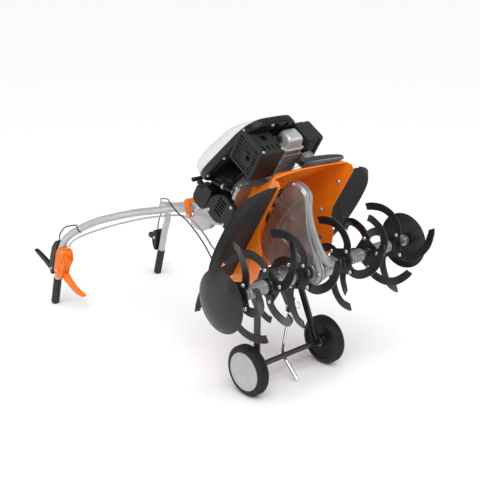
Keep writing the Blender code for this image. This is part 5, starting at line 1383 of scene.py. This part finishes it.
def controls():
    left, right = -GRIP_X, GRIP_X
    lower_arm = arm_path(-1)[5 * 8:]
    bore = [tube(lower_arm, TUBE_R + 0.0008, 32)]
    outline = [(0.970, 0.264), (0.966, 0.224), (0.996, 0.186), (1.010, 0.152), (1.022, 0.132),
               (1.066, 0.138), (1.074, 0.164), (1.056, 0.212), (1.044, 0.250), (1.022, 0.272),
               (0.992, 0.270)]
    bore += [box((left - 0.03, 0.974, 0.214), (left - 0.0142, 0.986, 0.252), 0.001, 1),
             box((left - 0.03, 0.996, 0.208), (left - 0.0150, 1.006, 0.220), 0.001, 1),
             box((left - 0.03, 1.022, 0.162), (left - 0.0145, 1.034, 0.182), 0.001, 1),
             box((left - 0.0100, 0.90, 0.210), (left + 0.0100, 0.9735, 0.246), 0.001, 1)]
    ribs = [box((left - 0.0190, 1.006 + 0.012 * k, 0.224), (left + 0.0190, 1.009 + 0.012 * k, 0.256),
                0.0008, 1) for k in range(3)]
    control("lever_housing_shell", "orange_plastic", "handlebar", outline, left, 0.0182, 0.0045,
            "lever_housing", bore, 0.010, ribs)
    bore = [tube(lower_arm, TUBE_R + 0.0008, 32)]
    outline = [(1.058, 0.232), (1.078, 0.178), (1.092, 0.134), (1.110, 0.134), (1.1166, 0.156),
               (1.106, 0.206), (1.084, 0.258), (1.056, 0.288), (1.040, 0.293), (1.030, 0.284),
               (1.042, 0.266)]
    control("switch_housing_shell", "black_plastic", "handlebar", outline, left, 0.0133, 0.0035,
            "switch_housing", bore, 0.005)
    outline = [(1.016, 0.148), (1.020, 0.134), (0.990, 0.122), (0.950, 0.106), (0.910, 0.098),
               (0.874, 0.098), (0.870, 0.108), (0.905, 0.114), (0.940, 0.126), (0.972, 0.146),
               (0.992, 0.164), (1.004, 0.166)]
    control("clutch_lever_arm", "orange_plastic", "clutch_lever", outline, left, 0.0084, 0.0030,
            "clutch_lever", (), 0.010)
    outline = [(1.1180, 0.1556), (1.1290, 0.1480), (1.160, 0.164), (1.205, 0.181), (1.242, 0.196),
               (1.240, 0.206), (1.200, 0.197), (1.156, 0.183), (1.130, 0.172), (1.1180, 0.1604)]
    control("stop_lever_arm", "black_plastic", "stop_lever", outline, left, 0.0079, 0.0028,
            "stop_lever", (), 0.006)
    outline = [(1.0770, 0.205), (1.0920, 0.214), (1.1080, 0.206), (1.1180, 0.180),
               (1.1165, 0.148), (1.1080, 0.124), (1.0960, 0.114), (1.0900, 0.128),
               (1.0800, 0.180)]
    bores = [tube([grip_point(1, -0.02), grip_point(1, 0.13)], GRIP_R + 0.0014, 40),
             tube([grip_point(1, 0.10), (GRIP_X, 1.040, 0.2260)], TUBE_R + 0.0006, 36)]
    control("throttle_housing", "black_plastic", "handlebar", outline, right, 0.0198, 0.0050,
            "throttle_body", bores, 0.010)
    outline = [(1.1192, 0.1664), (1.1300, 0.160), (1.1560, 0.160), (1.1640, 0.170),
               (1.1560, 0.186), (1.1400, 0.184), (1.1300, 0.176), (1.1192, 0.1700)]
    control("throttle_thumb_lever", "black_plastic", "throttle_lever", outline, right, 0.0059,
            0.0018, "throttle_lever", (), 0.004)
    screws = Piece("control_screws", "bright_steel", "handlebar", FLOOR)
    for x, y, z in ((left - 0.0180, 1.050, 0.166), (left - 0.0180, 0.996, 0.256),
                    (left + 0.0180, 1.050, 0.166), (left - 0.0132, 1.100, 0.160)):
        screws.bolt((x, y, z), (1 if x > left else -1, 0, 0), 0.0036, 0.0022)
    for x in (right - 0.0196, right + 0.0196):
        screws.bolt((x, 1.100, 0.176), (1 if x > right else -1, 0, 0), 0.0046, 0.0026)
    screws.done()


CLUTCH_ROUTE = [(-0.2600, 0.9820, 0.2740), (-0.2520, 0.9700, 0.2960), (-0.2300, 0.9500, 0.3180),
                (-0.1900, 0.9080, 0.3440), (-0.1300, 0.8300, 0.3800), (-0.0780, 0.7200, 0.4200),
                (-0.0500, 0.6200, 0.4480), (-0.0440, 0.5300, 0.4700), (-0.0466, 0.4800, 0.4738),
                (-0.0480, 0.4620, 0.4733), (-0.0560, 0.4100, 0.4600), (-0.0700, 0.3500, 0.4400),
                (-0.0900, 0.2950, 0.4250), (-0.1000, 0.2600, 0.4180)]
THROTTLE_ROUTE = [(0.2630, 1.0970, 0.2160), (0.2600, 1.0800, 0.2620), (0.2440, 1.0360, 0.3180),
                  (0.1950, 0.9720, 0.3820), (0.1150, 0.8620, 0.4320), (0.0300, 0.7000, 0.4800),
                  (-0.0300, 0.6100, 0.5000), (-0.0600, 0.5300, 0.4890), (-0.0650, 0.4810, 0.4770),
                  (-0.0664, 0.4620, 0.4718), (-0.0740, 0.4000, 0.4450), (-0.0900, 0.3300, 0.4150),
                  (-0.1160, 0.2600, 0.3900)]
SWITCH_ROUTE = [(-0.2630, 1.0380, 0.2960), (-0.2610, 1.0340, 0.3200), (-0.2450, 1.0160, 0.3500),
                (-0.2140, 0.9790, 0.3610)]


def cables():
    """Control cables on their whole routes, as fixed tubes that pass the handlebar hinge."""
    for name, slot, route, radius, nodes in (
            ("clutch_bowden", "cable_grey", CLUTCH_ROUTE, 0.0035,
             ("clutch_cable", "clutch_cable_end")),
            ("throttle_bowden", "black_plastic", THROTTLE_ROUTE, 0.0025,
             ("throttle_cable", "throttle_cable_end"))):
        piece = Piece(name, slot, None, FLOOR, sharp=60)
        piece.add(tube(curve_through(route, 10), radius, 16))
        run = piece.done(*nodes, weighted=False)
        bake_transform(run)
    wire = Piece("switch_lead", "black_plastic", "handlebar", FLOOR, sharp=60)
    wire.add(tube(curve_through(SWITCH_ROUTE, 10), 0.0025, 16))
    wire.done("switch_wire")
    ends = Piece("cable_ferrules", "bright_steel", "handlebar", FLOOR)
    for route, radius in ((CLUTCH_ROUTE, 0.0052), (THROTTLE_ROUTE, 0.0040)):
        way = (Vector(route[1]) - Vector(route[0])).normalized()
        ends.add(lathe([(radius * 0.6, -0.002), (radius, -0.002), (radius * 1.05, 0.0),
                        (radius * 1.05, 0.010), (radius * 0.8, 0.012), (radius * 0.6, 0.012)],
                       way, route[0], 24))
    ends.done()
    ties = Piece("cable_ties", "black_plastic", "handlebar", FLOOR)
    for side, knot in ((1, 4), (1, 6), (-1, 6)):
        at = Vector(ARM_KNOTS[knot])
        after = Vector(ARM_KNOTS[knot + 1])
        at.x, after.x = side * at.x, side * after.x
        way = (after - at).normalized()
        ties.add(lathe([(TUBE_R + 0.0002, -0.0022), (TUBE_R + 0.0012, -0.0022),
                        (TUBE_R + 0.0012, 0.0022), (TUBE_R + 0.0002, 0.0022)], way, at, 32))
    ties.done()


handlebar()
grips()
controls()
cables()


# ---------------------------------------------------------------- studio
def studio():
    floor_mesh = bpy.data.meshes.new("studio_floor")
    reach = 150.0
    floor_mesh.from_pydata([(-reach, -reach, 0), (reach, -reach, 0), (reach, reach, 0),
                            (-reach, reach, 0)], [], [(0, 1, 2, 3)])
    material = surface("studio_paper", (0.93, 0.93, 0.93), 0.75, 0.0, 0.004, 0.00005, 300)
    floor_mesh.materials.append(material)
    floor = bpy.data.objects.new("studio_floor", floor_mesh)
    bpy.context.scene.collection.objects.link(floor)

    world = bpy.data.worlds.new("studio_light")
    world.use_nodes = True
    background = world.node_tree.nodes["Background"]
    background.inputs["Color"].default_value = (1.0, 1.0, 1.0, 1)
    background.inputs["Strength"].default_value = 0.42
    bpy.context.scene.world = world

    def softbox(name, at, target, size, power):
        light = bpy.data.lights.new(name, "AREA")
        light.shape = "RECTANGLE"
        light.size, light.size_y = size
        light.energy = power
        lamp = bpy.data.objects.new(name, light)
        lamp.location = at
        aim = Vector(target) - Vector(at)
        lamp.rotation_euler = aim.to_track_quat("-Z", "Y").to_euler()
        bpy.context.scene.collection.objects.link(lamp)

    sun = bpy.data.lights.new("overhead", "SUN")
    sun.energy, sun.angle = 2.3, radians(50)
    overhead = bpy.data.objects.new("overhead", sun)
    overhead.rotation_euler = (radians(22), radians(-14), 0)
    bpy.context.scene.collection.objects.link(overhead)
    middle = (0, 0, 0.45)
    softbox("key", (-2.2, -1.6, 2.6), middle, (1.2, 1.2), 26)
    softbox("front", (1.8, -2.6, 1.8), middle, (1.0, 1.8), 18)
    softbox("left", (-2.8, 1.0, 1.2), middle, (0.8, 2.0), 10)

    lens = bpy.data.cameras.new("camera")
    lens.lens, lens.sensor_width = 65.8, 36.0
    camera = bpy.data.objects.new("camera", lens)
    camera.location = (-1.92178, -1.93032 - CENTRE_Y, 1.42494)
    camera.rotation_euler = (radians(71.204), 0, radians(-41.449))
    bpy.context.scene.collection.objects.link(camera)
    bpy.context.scene.camera = camera
    bpy.context.scene.view_settings.view_transform = "Standard"


studio()
